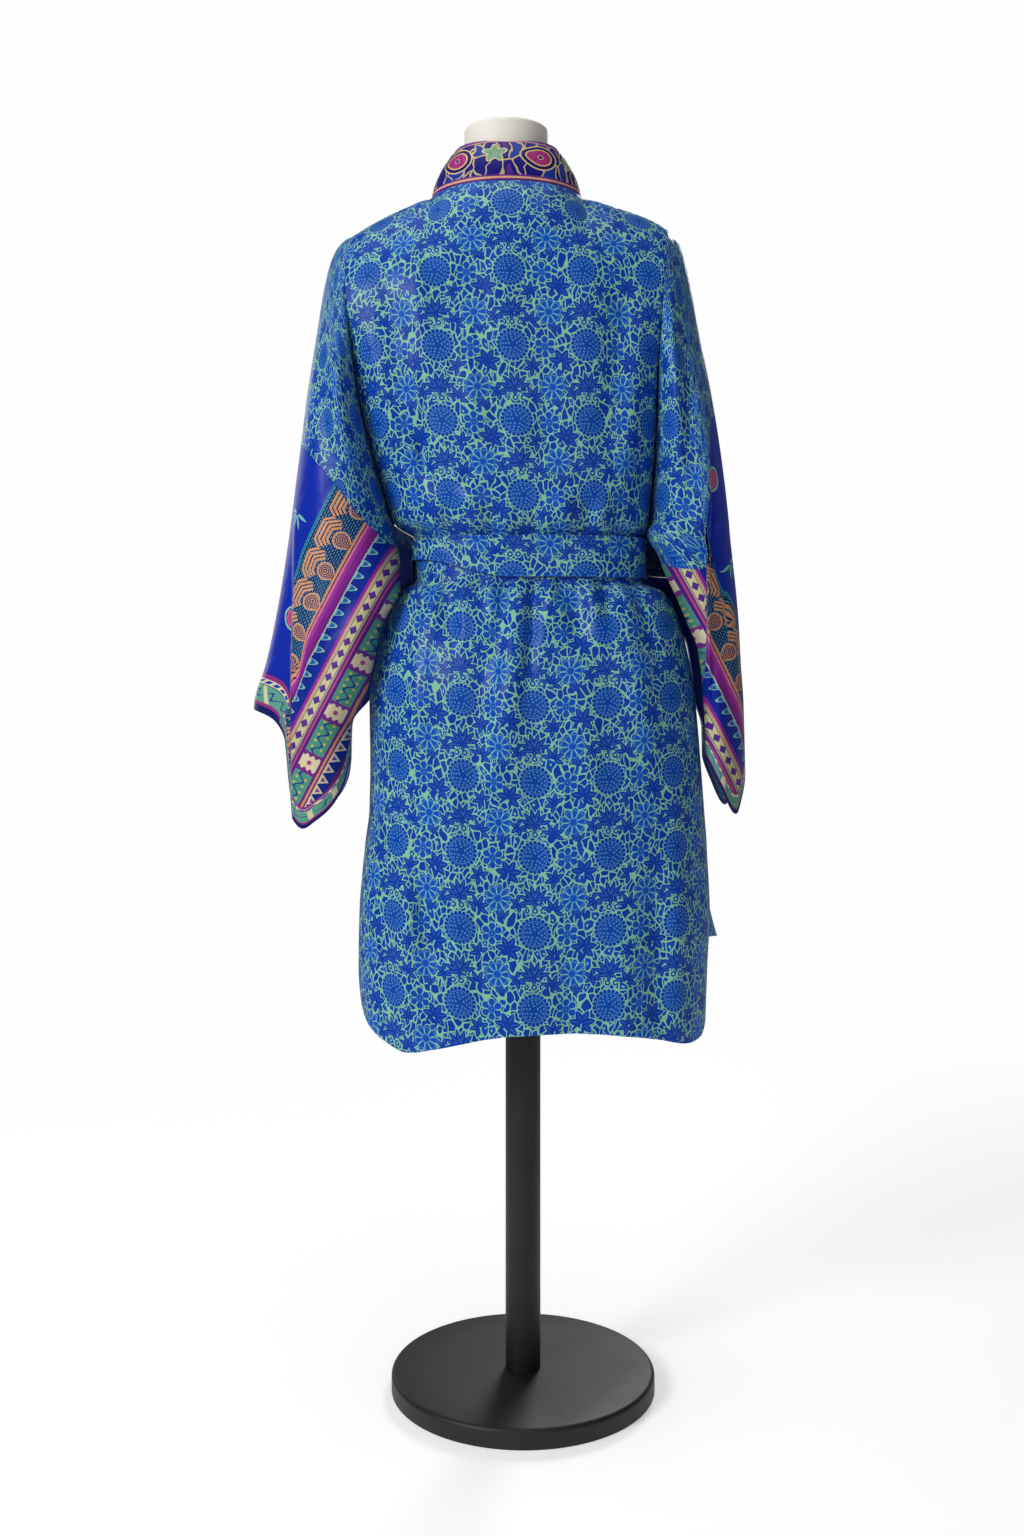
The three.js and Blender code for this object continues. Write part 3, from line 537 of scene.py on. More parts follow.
def sleeve_point(sleeve, around, z):
    """around 0 is the back layer's inner edge, 0.5 the outer line, 1 the front layer's."""
    side, step = sleeve["side"], sleeve["step"]
    name = side_name(side)
    around, z = np.broadcast_arrays(around, z)
    free = z < UNDERARM
    layer = np.where(around < 0.5, 1, -1)
    # inner edge of the front layer: set in near the cuff, drawn in against the waist above
    front_in = np.where(layer < 0, side * FRONT_LAYER_IN * smooth((790 - z) / 40), 0)
    armhole_x = side_edge(z, name) + side * SEAM / 2
    inner_x = look(sleeve["inner"], "z", z, "x") + front_in
    against_body = side * np.minimum(side * inner_x, side * side_edge(z, name) + 0.8)
    drawn_in = np.where(layer < 0, smooth((z - 850) / 40), 0)
    inner_x = np.where(free, mix(inner_x, against_body, drawn_in), armhole_x)
    hollow = np.where(free, look(sleeve["inner"], "z", z, "hollow"), side_edge(z, "hollow") + 0.5)
    outer_x = np.maximum(side * look(sleeve["outer"], "z", z, "x"), side * inner_x + 4)
    depth = look(SLEEVE_DEPTH, "z", z, "depth")
    half = np.minimum(around, 1 - around) * 2 * np.pi
    x = side * (mix(side * inner_x, outer_x, 0.5) - 0.5 * (outer_x - side * inner_x) * np.cos(half))
    # the step of the back layer, where its outer part lies further in
    stepping = smooth(side * (x - step["x"]) / step["width"])
    stepping = stepping * smooth((step["top"] - z) / (step["top"] - step["full"]))
    sine = np.maximum(np.sin(half), 0)
    recess = np.where(layer > 0, step["depth"] * stepping * sine**0.5, 0)
    crest = crest_height(armhole_x, around)
    drop = np.clip((crest - z) / SHOULDER_ROUND, 0, 1)
    rounding = np.sqrt(1 - (1 - drop) ** 2)
    full = hollow * np.cos(half / 2) ** 4 + (depth - hollow * 0.25) * sine**0.9
    rounded = hollow * np.sqrt(np.maximum(1 - np.sin(half / 2) ** 4, 0))
    lift = lifted(SLEEVE_CREASES[name], around, z) * sine * smooth((SLEEVE_TOP - z) / 60)
    y = mix(full, rounded, at_shoulder(z)) - recess + lift
    return point(x, layer * np.maximum(y, 0) * rounding, z)


def share_of(around):
    return (1 - np.cos(np.minimum(around, 1 - around) * 2 * np.pi)) / 2


def seam_height(sleeve, around):
    return look(sleeve["band_top"], "share", share_of(around), "z")


def half_gap(sleeve, around):
    """Half the gap at the seam between a sleeve's two parts, taller where it is steep."""
    low, high = np.maximum(0, around - 0.02), np.minimum(1, around + 0.02)
    start = sleeve_point(sleeve, low, seam_height(sleeve, low))
    run = sleeve_point(sleeve, high, seam_height(sleeve, high)) - start
    steepness = np.abs(run[..., 2]) / np.hypot(run[..., 0], run[..., 1])
    return (SEAM / 2) * np.hypot(1, steepness * 2)


def sleeve_points(sleeve, around, share):
    end = side_edge(SLEEVE_TOP, side_name(sleeve["side"]))
    top = crest_height(end, around)
    bottom = seam_height(sleeve, around) + half_gap(sleeve, around)
    return sleeve_point(sleeve, around[None, :], mix(top[None, :], bottom[None, :], share[:, None]))


def band_points(sleeve, around, share):
    top = seam_height(sleeve, around) - half_gap(sleeve, around)
    bottom = look(sleeve["cuff"], "share", share_of(around), "z")
    return sleeve_point(sleeve, around[None, :], mix(top[None, :], bottom[None, :], share[:, None]))


# ---- Neckband, belt and tails ----
def neckband_points(neck_steps=44, front_steps=250, across_steps=14):
    """From the left hem over the back of the neck to the right hem, seam edge first."""
    across = np.linspace(0, 1, across_steps + 1)[None, :]

    def front_part(side):
        hem = look(FRONT_HEM, "x", body(500, "middle") - side * 48, "z")
        z = mix(float(NECK_SEAM), hem, row_drops(front_steps))[:, None]
        reach = look(FRONT_EDGE, "z", z, "reach")
        run = look(FRONT_EDGE, "z", z + 5, "reach") - look(FRONT_EDGE, "z", z - 5, "reach")
        slope = np.arctan2(run, 10)
        x = body(z, "middle") + side * reach
        flat_x = x - side * FRONT_BAND * across * np.cos(slope)
        flat_z = z + FRONT_BAND * across * np.sin(slope) * smooth((z - 992) / 90)
        lift = lap(x, z) if side > 0 else 0
        flat = body_point(-1, flat_x, flat_z, lift)
        stand = body_point(-1, x + 0 * across, z, lift)
        stand[..., 0] -= side * COLLAR["lean_in"] * across
        stand[..., 2] += COLLAR["height"] * across
        return mix(flat, stand, smooth((z - 1262) / 92)[..., None])

    turn = np.linspace(-np.pi / 2, np.pi / 2, 2 * neck_steps + 1)[1:-1, None]
    x = NECK_MIDDLE - COLLAR["half_width"] * np.sin(turn)
    neck = body_point(1, x + 0 * across, neck_seam_height(x) + 0 * across)
    bulge = COLLAR["bulge"] * 4 * across * (1 - across)
    lean = across - bulge / 22
    neck[..., 0] += COLLAR["lean_in"] * np.sin(turn) * lean
    neck[..., 1] -= COLLAR["back_lean"] * np.cos(turn) * lean
    neck[..., 2] += 2 * SEAM + mix(48, COLLAR["height"], np.abs(np.sin(turn))) * across
    grid = np.concatenate([front_part(1)[::-1], neck, front_part(-1)])
    # ease the two turns from the shoulders into the neck
    for first in (front_steps, front_steps + neck.shape[0] + 1):
        for _ in range(6):
            near = slice(first - 7, first + 8)
            beside = grid[first - 8 : first + 7] + grid[first - 6 : first + 9]
            grid[near] = (beside + grid[near] * 2) / 4
    return grid


def belt_points(around, height):
    angle = around * 2 * np.pi
    # at the back's left end the lower edge rises and the upper one falls a little
    slant = BELT["slant"] * smooth((np.cos(angle) - 0.12) / 0.8) * smooth(np.sin(angle) * 6 + 1)
    fall = 4 * smooth(np.cos(angle) * 2 - 1)
    z = mix(BELT["bottom"] + slant, float(BELT["top"]) - fall, height)
    middle = body(z, "middle")
    wide = np.abs(np.cos(angle)) ** 0.9
    front = smooth(np.abs(np.sin(angle)) * 2.5) * BELT["front_out"]
    x = middle + (end_of(np.cos(angle) > 0, z) - middle) * wide
    back_half = body_point(1, x, z)
    front_half = body_point(-1, x, z, front)
    grid = np.where((np.sin(angle) >= 0)[..., None], back_half, front_half)
    out = point(np.cos(angle) * np.abs(np.cos(angle)) * 2.56, np.sin(angle) * 1.6, 0 * angle)
    out /= np.linalg.norm(out, axis=-1, keepdims=True)
    crumple = 1.1 * np.sin(height * 9 + around * 31) * np.sin(around * 57 + 2 * height)
    crumple *= np.sin(np.pi * height)
    edges = 1.2 * np.abs(2 * height - 1) ** 6
    return grid + (BELT["move_out"] + crumple + edges)[..., None] * out


def tail_points(lean, move_out, across, down):
    below_knot = TAIL["length"] * down
    z = TAIL["top"] - below_knot * math.cos(lean)
    middle = body(BELT["middle"], "middle") + below_knot * math.sin(lean)
    x = middle + (across - 0.5) * TAIL["width"]
    wave = 2.5 * np.sin(down * 7 + lean * 30) * down
    grid = body_point(-1, x, z, LAP + move_out)
    grid[..., 1] -= 4 + np.abs(wave)
    return grid


# ---- Cloth ----
FAR_FROM_HEM = 60.0


def cloth(name, grid, away, print_at, hem=None, closed=False, keep=None):
    """A thin closed shell: grid is its outer side in millimetres, rows by columns.

    away points outwards from the grid's middle; print_at is the place on the printed
    cloth in millimetres, hem the distance from the nearest finished edge.
    """
    rows, count = grid.shape[:2]
    if closed:
        across = np.roll(grid, -1, axis=1) - np.roll(grid, 1, axis=1)
    else:
        across = np.gradient(grid, axis=1)
    normal = np.cross(across, np.gradient(grid, axis=0))
    normal /= np.maximum(np.linalg.norm(normal, axis=-1, keepdims=True), 1e-9)
    turned_over = np.sum(normal * away(grid)) < 0
    if turned_over:
        normal = -normal
    inner = grid - normal * CLOTH
    if keep:
        inner = keep(inner, grid)
    total = rows * count
    vertices = np.concatenate([grid.reshape(-1, 3), inner.reshape(-1, 3)]) * MM

    width = count + 1 if closed else count
    places = np.arange(rows * width).reshape(rows, width)
    inside = places + rows * width
    a, b, c, d = places[:-1, :-1], places[:-1, 1:], places[1:, 1:], places[1:, :-1]
    faces = [np.stack([a, b, c, d], -1).reshape(-1, 4)]
    ia, ib, ic, id_ = inside[:-1, :-1], inside[:-1, 1:], inside[1:, 1:], inside[1:, :-1]
    faces.append(np.stack([id_, ic, ib, ia], -1).reshape(-1, 4))
    faces.append(np.stack([b[0], a[0], ia[0], ib[0]], -1))
    faces.append(np.stack([d[-1], c[-1], ic[-1], id_[-1]], -1))
    if not closed:
        faces.append(np.stack([a[:, 0], d[:, 0], id_[:, 0], ia[:, 0]], -1))
        faces.append(np.stack([c[:, -1], b[:, -1], ib[:, -1], ic[:, -1]], -1))
    corners = np.concatenate(faces)
    if turned_over:
        corners = corners[:, ::-1]

    # corners as places on the print and as vertices, which meet again on a ring
    row, column = np.divmod(corners % (rows * width), width)
    vertex = row * count + column % count + np.where(corners >= rows * width, total, 0)
    mesh = bpy.data.meshes.new(name)
    mesh.vertices.add(len(vertices))
    mesh.vertices.foreach_set("co", vertices.ravel())
    mesh.loops.add(vertex.size)
    mesh.loops.foreach_set("vertex_index", vertex.ravel())
    mesh.polygons.add(len(vertex))
    mesh.polygons.foreach_set("loop_start", np.arange(0, vertex.size, 4))
    mesh.polygons.foreach_set("use_smooth", np.ones(len(vertex), bool))
    uv = mesh.uv_layers.new(name="print")
    uv.data.foreach_set("uv", (print_at[row, column] * MM).ravel())
    reverse = mesh.attributes.new("reverse", "FLOAT", "POINT")
    reverse.data.foreach_set("value", np.repeat([0.0, 1.0], total))
    distance = np.full((rows, count), FAR_FROM_HEM) if hem is None else np.minimum(hem, FAR_FROM_HEM)
    edge = mesh.attributes.new("hem", "FLOAT", "POINT")
    edge.data.foreach_set("value", np.tile(distance.ravel(), 2))
    mesh.update(calc_edges=True)
    mesh.set_sharp_from_angle(angle=math.radians(60))
    mesh.validate()
    piece = bpy.data.objects.new(name, mesh)
    bpy.context.scene.collection.objects.link(piece)
    return piece


def lengths(grid, axis):
    """How far each point lies along the cloth from the grid's first row or column."""
    steps = np.linalg.norm(np.diff(grid, axis=axis), axis=-1)
    start = np.zeros_like(np.take(steps, [0], axis=axis))
    return np.concatenate([start, np.cumsum(steps, axis=axis)], axis=axis)


def eased(values, reach, axis=0):
    """A running mean, so that the print doesn't shear where the cloth is drawn in."""
    kernel = np.hanning(2 * reach + 3)[1:-1]
    padded = np.pad(values, [(reach, reach) if i == axis else (0, 0) for i in (0, 1)], mode="edge")
    return np.apply_along_axis(np.convolve, axis, padded, kernel / kernel.sum(), mode="valid")


def to_hem(grid):
    """How far each point lies up the cloth from the grid's last row."""
    return lengths(grid[::-1], 0)[::-1]


def to_free_edge(grid, from_side):
    """Distance to the hem, or to the side edge below the top of the slit."""
    slit_free = np.where(grid[..., 2] < SLIT["top"], from_side, FAR_FROM_HEM)
    return np.minimum(to_hem(grid), slit_free)


def from_column(grid, column):
    along = lengths(grid, 1)
    return along - along[:, column : column + 1]


def from_level(grid, level):
    """Distance down the cloth from the height level, measured along each column."""
    along = lengths(grid, 0)
    start = [np.interp(-level, -grid[:, i, 2], along[:, i]) for i in range(grid.shape[1])]
    return along - np.array(start)[None, :]


def body_away(grid):
    return grid * [1, 2, 0] + [0, 0, 20] - [6, 0, 0]


def keep_side(side):
    def keep(inner, _outer):
        inner[..., 1] = side * np.maximum(side * inner[..., 1], SEAM / 2)
        return inner

    return keep


PRINT_TOP = 1170  # height of a rosette on the middle of the back


grid = back_points()
middle_column = grid.shape[1] // 2
at = np.stack(
    [eased(from_column(grid, middle_column), 40), -eased(from_level(grid, PRINT_TOP), 12, 1)], -1
)
armholes = {
    name: {"z": grid[::-1, column, 2], "across": at[::-1, column, 0], "down": at[::-1, column, 1]}
    for name, column in (("left", -1), ("right", 0))
}
from_side = np.minimum(lengths(grid, 1), lengths(grid[:, ::-1], 1)[:, ::-1])
back = cloth("robe_back", grid, body_away, at, to_free_edge(grid, from_side), keep=keep_side(1))

fronts = {}
for name, side in (("left", 1), ("right", -1)):
    grid = front_points(side)
    along = -side * from_column(grid, grid.shape[1] - 1)
    at = np.stack([eased(along, 40) + 31 * side, -eased(from_level(grid, PRINT_TOP + 20), 12, 1)], -1)
    edge = to_free_edge(grid, lengths(grid, 1))
    piece = cloth(f"robe_front_{name}", grid, body_away, at, edge, keep=keep_side(-1))
    fronts[name] = piece

grid = neckband_points()
along = lengths(grid, 0)
at = np.stack([along - along[len(along) // 2], lengths(grid, 1)], -1)
neckband = cloth("robe_neckband", grid, lambda g: g * [1, 2, 0] + [-6, 0, 30], at)

# A point (x, z) of the border print's first stripe on each sleeve, and the x of a fold
# with the shift that it gives to the print past it.
BORDER_START = {"left": (206.2, 1021.5), "right": (-199.7, 966.9)}
BORDER_FOLD = {"left": (256.5, -66), "right": (-199.5, 56)}
STRIPE_RUN, STRIPE_RISE = 0.474, 0.881  # the way along a stripe


def border_place(sleeve, grid):
    """x across the border's slanting stripes and y along them, round the outer fold."""
    side = sleeve["side"]
    name = side_name(side)
    steps = np.abs(np.diff(grid, axis=1))
    wide = np.hypot(steps[..., 0], steps[..., 1])
    columns_count = grid.shape[1]
    # plain x on the back layer, the way along the cloth from near the outer line on
    turning = smooth((np.arange(1, columns_count) / (columns_count - 1) - 0.3) / 0.14)
    run = np.cumsum(mix(steps[..., 0], wide, turning[None, :]), axis=1)
    reach = side * grid[..., 0]
    reach[:, 1:] = reach[:, :1] + run
    start_x, start_z = BORDER_START[name]
    out, down = reach - abs(start_x), start_z - grid[..., 2]
    across = -STRIPE_RISE * out + STRIPE_RUN * down
    along = STRIPE_RUN * out + STRIPE_RISE * down
    fold_x, shift = BORDER_FOLD[name]
    past = side * grid[..., 0] - side * fold_x
    folded = past > 0 if shift < 0 else past < 0
    front_layer = np.arange(columns_count)[None, :] > columns_count // 2
    moved = folded & ~front_layer if shift > 0 else folded | front_layer
    shifted = np.where(moved, shift, 0) * smooth((1078 - grid[..., 2]) / 30)
    return np.stack([across + shifted, along], -1)


sleeves, bands = {}, {}
for name, sleeve in SLEEVES.items():

    def away(g, sleeve=sleeve):
        outer_x = look(sleeve["outer"], "z", g[..., 2], "x")
        free_x = look(sleeve["inner"], "z", g[..., 2], "x")
        held_x = side_edge(g[..., 2], side_name(sleeve["side"]))
        inner_x = np.where(g[..., 2] < UNDERARM, free_x, held_x)
        return (g - point(mix(inner_x, outer_x, 0.5), 0, g[..., 2])) * [1, 1, 0]

    def keep(inner, outer, side=sleeve["side"]):
        for edge in (0, -1):
            inner[:, edge, 0] = side * np.maximum(side * inner[:, edge, 0], side * outer[:, edge, 0])
        return inner

    around = np.linspace(0, 1, SLEEVE_COLUMNS)
    grid = sleeve_points(sleeve, around, row_drops(84))
    armhole = armholes[name]
    held = np.maximum(grid[:, 0, 2], UNDERARM)
    start = np.interp(held, armhole["z"], armhole["across"])[:, None]
    level = np.interp(held[0], armhole["z"], armhole["down"])
    # further round the sleeve the print keeps its columns, so that it doesn't shear
    round_share = smooth(around * 2.2)[None, :]
    hanging = slice(40, None)  # the rows below the shoulder
    run = mix(lengths(grid, 1), lengths(grid, 1)[hanging].mean(axis=0)[None, :], round_share)
    across = mix(start, start[hanging].mean(), round_share) + sleeve["side"] * run
    at = np.stack([eased(across, 6), level - lengths(grid, 0)], -1)
    sleeves[name] = cloth(f"robe_sleeve_{name}", grid, away, at, keep=keep)
    flat = np.stack([eased(from_column(grid, SLEEVE_COLUMNS // 2), 12), -lengths(grid, 0)], -1)

    grid = band_points(sleeve, around, np.linspace(0, 1, 116))
    at = border_place(sleeve, grid)
    bands[name] = cloth(f"robe_sleeve_border_{name}", grid, away, at, to_hem(grid), keep=keep)

around, height = np.meshgrid(np.arange(240) / 240, np.linspace(0, 1, 15))
grid = belt_points(around, height)
ring = np.concatenate([lengths(grid, 1), lengths(grid, 1)[:, -1:] + 3], axis=1)
up = lengths(grid, 0)
at = np.stack([ring, np.concatenate([up, up[:, :1]], axis=1)], -1)
from_edge = np.minimum(up, up[-1] - up) + 4
belt = cloth("belt_band", grid, lambda g: (g + [5, 0, 0]) * [1, 1, 0], at, from_edge, closed=True)

tails = {}
for name, lean, move_out in (("a", 0.1, 2), ("b", -0.12, 6)):
    across, down = np.meshgrid(np.linspace(0, 1, 15), np.linspace(0, 1, 84))
    grid = tail_points(lean, move_out, across, down)
    at = np.stack([lengths(grid, 1), -lengths(grid, 0)], -1)
    tails[name] = cloth(f"belt_end_{name}", grid, lambda g: g * 0 + [0, -1, 0], at, to_hem(grid))


# ---- Belt knot ----
def select_faces(mesh, wanted):
    """Select the faces of the edited mesh that wanted(face) picks."""
    for face in mesh.faces:
        face.select_set(bool(wanted(face)))


def finished(name):
    """Bring the edited primitive's place into its mesh and name it."""
    piece = bpy.context.object
    bpy.ops.object.transform_apply(location=True, rotation=True, scale=True)
    bpy.ops.object.shade_smooth_by_angle(angle=math.radians(40))
    piece.name = name
    piece.data.name = name
    piece.select_set(False)
    return piece


knot_half = np.array([KNOT["width"], KNOT["depth"], KNOT["height"]]) / 2
knot_x = float(body(BELT["middle"], "middle"))
knot_y = -(float(body(BELT["middle"], "front")) + LAP + BELT["move_out"] + KNOT["depth"] / 2 + 1)
bpy.ops.mesh.primitive_cube_add(size=2, location=(knot_x * MM, knot_y * MM, KNOT["z"] * MM))
knot = bpy.context.object
knot.scale = knot_half * MM
bpy.ops.object.transform_apply(location=False, rotation=False, scale=True)
subdivided = knot.modifiers.new("round", "SUBSURF")
subdivided.levels = 5
subdivided.render_levels = 5
bpy.ops.object.modifier_apply(modifier="round")
places = np.empty(len(knot.data.vertices) * 3)
knot.data.vertices.foreach_get("co", places)
places = places.reshape(-1, 3) / MM / knot_half
places /= np.abs(places).max(axis=0)
unit = places / np.linalg.norm(places, axis=1, keepdims=True)
soft = np.sign(unit) * np.abs(unit) ** 0.86
# the belt's folds run over the knot from side to side, drawn in at its middle
fold_rise, waist_depth = 0.08, 0.27
folds = 1 + fold_rise * np.sin(unit[:, 2] * 8 + 1.6 * unit[:, 0]) * (1 - unit[:, 0] ** 2)
folds -= waist_depth * np.exp(-((unit[:, 0] + 0.25 * unit[:, 2]) ** 2) / 0.03) * np.abs(unit[:, 1])
knot.data.vertices.foreach_set("co", (soft * folds[:, None] * knot_half * MM).ravel())
knot = finished("belt_knot_tied")
knot_print = knot.data.uv_layers.new(name="print")
for loop in knot.data.loops:
    spot = knot.data.vertices[loop.vertex_index].co
    knot_print.data[loop.index].uv = (spot.x - spot.z * 0.4 + spot.y * 0.5, spot.z + spot.y * 0.6)


# ---- Dress form and stand ----
def turned_disc(name, radius, bottom, top, bevel, x=0, lower_bevel=0):
    """A round plate with soft rims, its faces cut from a many-sided cylinder."""
    depth = (top - bottom) * MM
    place = (x * MM, 0, (top + bottom) / 2 * MM)
    bpy.ops.mesh.primitive_cylinder_add(vertices=144, radius=radius * MM, depth=depth, location=place)
    bpy.ops.object.mode_set(mode="EDIT")
    for rim, size in ((1, bevel), (-1, lower_bevel)):
        if not size:
            continue
        bpy.ops.mesh.select_mode(type="EDGE")
        bpy.ops.mesh.select_all(action="DESELECT")
        mesh = bmesh.from_edit_mesh(bpy.context.object.data)
        for edge in mesh.edges:
            heights = [vertex.co.z * rim for vertex in edge.verts]
            edge.select_set(min(heights) > depth / 2 - 1e-5 and len(edge.link_faces) == 2)
        bpy.ops.mesh.bevel(offset=size * MM, segments=5, affect="EDGES")
    bpy.ops.mesh.select_mode(type="FACE")
    mesh = bmesh.from_edit_mesh(bpy.context.object.data)
    select_faces(mesh, lambda face: len(face.verts) > 4)
    # rings of quads, so that the flat faces aren't one large polygon
    for _ in range(3):
        bpy.ops.mesh.inset(thickness=radius * 0.24 * MM)
    bpy.ops.object.mode_set(mode="OBJECT")
    return finished(name)


base = turned_disc("base_plate", BASE["radius"], 0, BASE["height"], BASE["bevel"], lower_bevel=1.2)
pole = turned_disc("stand_tube", POLE["radius"], BASE["height"] + SEAM, POLE["top"] - SEAM, 0.8)
cap = turned_disc(
    "neck_cap", NECK_CAP["radius"], NECK_CAP["bottom"], NECK_CAP["top"], NECK_CAP["bevel"], NECK_CAP["x"]
)

# the padded torso: a ring of its lowest section, drawn up from section to section
bpy.ops.mesh.primitive_circle_add(vertices=96, radius=1, fill_type="NGON")
bpy.ops.object.mode_set(mode="EDIT")
levels = np.unique(np.concatenate([np.arange(700, 1400, 8), TORSO["z"]]))
before = (1, 1, 1)
for level, z in enumerate(levels):
    if level:
        bpy.ops.mesh.extrude_region_move()
    half, back_depth, front_depth = [float(look(TORSO, "z", z, name)) for name in ("half", "back", "front")]
    mesh = bmesh.from_edit_mesh(bpy.context.object.data)
    for vertex in mesh.verts:
        if not vertex.select:
            continue
        x, y = vertex.co.x / before[0], vertex.co.y / before[1 if vertex.co.y > 0 else 2]
        if level == 0:
            squareness = (abs(x) ** TORSO_POWER + abs(y) ** TORSO_POWER) ** (-1 / TORSO_POWER)
            x, y = x * squareness, y * squareness
        vertex.co = (x * half, y * (back_depth if y > 0 else front_depth), z)
    before = (half, back_depth, front_depth)
bmesh.update_edit_mesh(bpy.context.object.data)
mesh.verts.ensure_lookup_table()
for vertex in mesh.verts:
    vertex.co.x += float(look(TORSO, "z", vertex.co.z, "middle"))
    vertex.co *= MM
bmesh.update_edit_mesh(bpy.context.object.data)
bpy.ops.mesh.select_all(action="SELECT")
bpy.ops.mesh.normals_make_consistent(inside=False)
bpy.ops.object.mode_set(mode="OBJECT")
torso = finished("form_padded_torso")


# ---- Materials ----
def colour(hex_value):
    """An sRGB hex colour as linear RGBA."""
    shades = [int(hex_value[i : i + 2], 16) / 255 for i in (1, 3, 5)]
    linear = [s / 12.92 if s <= 0.04045 else ((s + 0.055) / 1.055) ** 2.4 for s in shades]
    return (*linear, 1)


def add(tree, kind, inputs=(), **settings):
    """Add a node with its settings; inputs maps its sockets to values, hex colours or outputs."""
    node = tree.nodes.new(kind)
    for name, value in settings.items():
        setattr(node, name, value)
    for socket, value in dict(inputs).items():
        if isinstance(value, bpy.types.NodeSocket):
            tree.links.new(value, node.inputs[socket])
        else:
            node.inputs[socket].default_value = colour(value) if isinstance(value, str) else value
    return node


SIGNS = {
    ast.Add: "ADD",
    ast.Sub: "SUBTRACT",
    ast.Mult: "MULTIPLY",
    ast.Div: "DIVIDE",
    ast.Pow: "POWER",
    ast.Lt: "LESS_THAN",
    ast.Gt: "GREATER_THAN",
}
WORDS = {
    "sin": "SINE",
    "abs": "ABSOLUTE",
    "sqrt": "SQRT",
    "exp": "EXPONENT",
    "least": "MINIMUM",
    "most": "MAXIMUM",
    "whole": "FLOOR",
    "part": "FRACT",
    "angle": "ARCTAN2",
    "wrap": "WRAP",
    "fold": "PINGPONG",
}


def draw(tree, known, **lines):
    """Work out lines of a drawing in order; each may use known and the lines before it."""
    known = dict(known)

    def lay_out(item):
        if isinstance(item, ast.Constant):
            return item.value
        if isinstance(item, ast.Name):
            return known[item.id]
        if isinstance(item, ast.UnaryOp):
            return -item.operand.value
        if isinstance(item, ast.Call):
            operation, parts = WORDS[item.func.id], item.args
        elif isinstance(item, ast.Compare):
            operation, parts = SIGNS[type(item.ops[0])], [item.left, item.comparators[0]]
        else:
            operation, parts = SIGNS[type(item.op)], [item.left, item.right]
        inputs = dict(enumerate(lay_out(each) for each in parts))
        return add(tree, "ShaderNodeMath", inputs, operation=operation).outputs[0]

    for name, line in lines.items():
        known[name] = lay_out(ast.parse(line).body[0].value)
    return known


def inked(tree, known, ground, *inks):
    """Lay inks over a ground in order; each is a line for its mask, and its colour."""
    for mask, ink in inks:
        layers = {"Factor": draw(tree, known, mask=mask)["mask"], 6: ground, 7: ink}
        ground = add(tree, "ShaderNodeMix", layers, data_type="RGBA").outputs[2]
    return ground


def new_material(name):
    material = bpy.data.materials.new(name)
    material.use_nodes = True
    material.node_tree.nodes.clear()
    return material, material.node_tree


def printed_place(tree):
    """The place on the printed cloth in millimetres, from the piece's own print map."""
    cloth_map = add(tree, "ShaderNodeUVMap", uv_map="print").outputs["UV"]
    place = add(tree, "ShaderNodeVectorMath", {0: cloth_map, "Scale": 1 / MM}, operation="SCALE").outputs[0]
    axes = add(tree, "ShaderNodeSeparateXYZ", {0: place})
    return place, {"x": axes.outputs[0], "y": axes.outputs[1]}


def crowded_leaves(tree, place, noise, bend, turn, stretch, size):
    """Crowded leaf cells on the print: how far in from a cell's edge and core, and its shade."""
    noise = add(tree, "ShaderNodeTexNoise", {0: place, **noise}).outputs["Color"]
    bent = {0: noise, 1: (bend, bend, 0), 2: place}
    bent = add(tree, "ShaderNodeVectorMath", bent, operation="MULTIPLY_ADD")
    turned = {0: bent.outputs[0], "Rotation": (0, 0, turn), "Scale": (*stretch, 1)}
    inputs = {0: add(tree, "ShaderNodeMapping", turned).outputs[0], "Scale": size, "Randomness": 0.9}
    edges, cells = [
        add(tree, "ShaderNodeTexVoronoi", inputs, voronoi_dimensions="2D", feature=feature).outputs
        for feature in ("DISTANCE_TO_EDGE", "F1")
    ]
    shade = add(tree, "ShaderNodeSeparateXYZ", {0: cells["Color"]}).outputs[0]
    return {"edge": edges["Distance"], "core": cells["Distance"], "cell": shade}


def finish(tree, drawn, base, depth, strength, **more):
    """The surface of a material, from its drawn height and roughness and its base colour."""
    relief = {"Height": drawn["height"], "Distance": depth, "Strength": strength}
    normal = add(tree, "ShaderNodeBump", relief).outputs["Normal"]
    coat = {"Base Color": base, "Roughness": drawn["rough"], "Normal": normal}
    coat.update({name.replace("_", " "): value for name, value in more.items()})
    shader = add(tree, "ShaderNodeBsdfPrincipled", coat)
    add(tree, "ShaderNodeOutputMaterial", {"Surface": shader.outputs["BSDF"]})


def round_flower(name, x, y):
    """Lines for a repeated round figure: its place from its centre, its radius and its angle."""
    return {
        f"{name}x": x,
        f"{name}y": y,
        f"{name}r": f"sqrt({name}x * {name}x + {name}y * {name}y)",
        f"{name}t": f"angle({name}y, {name}x)",
    }


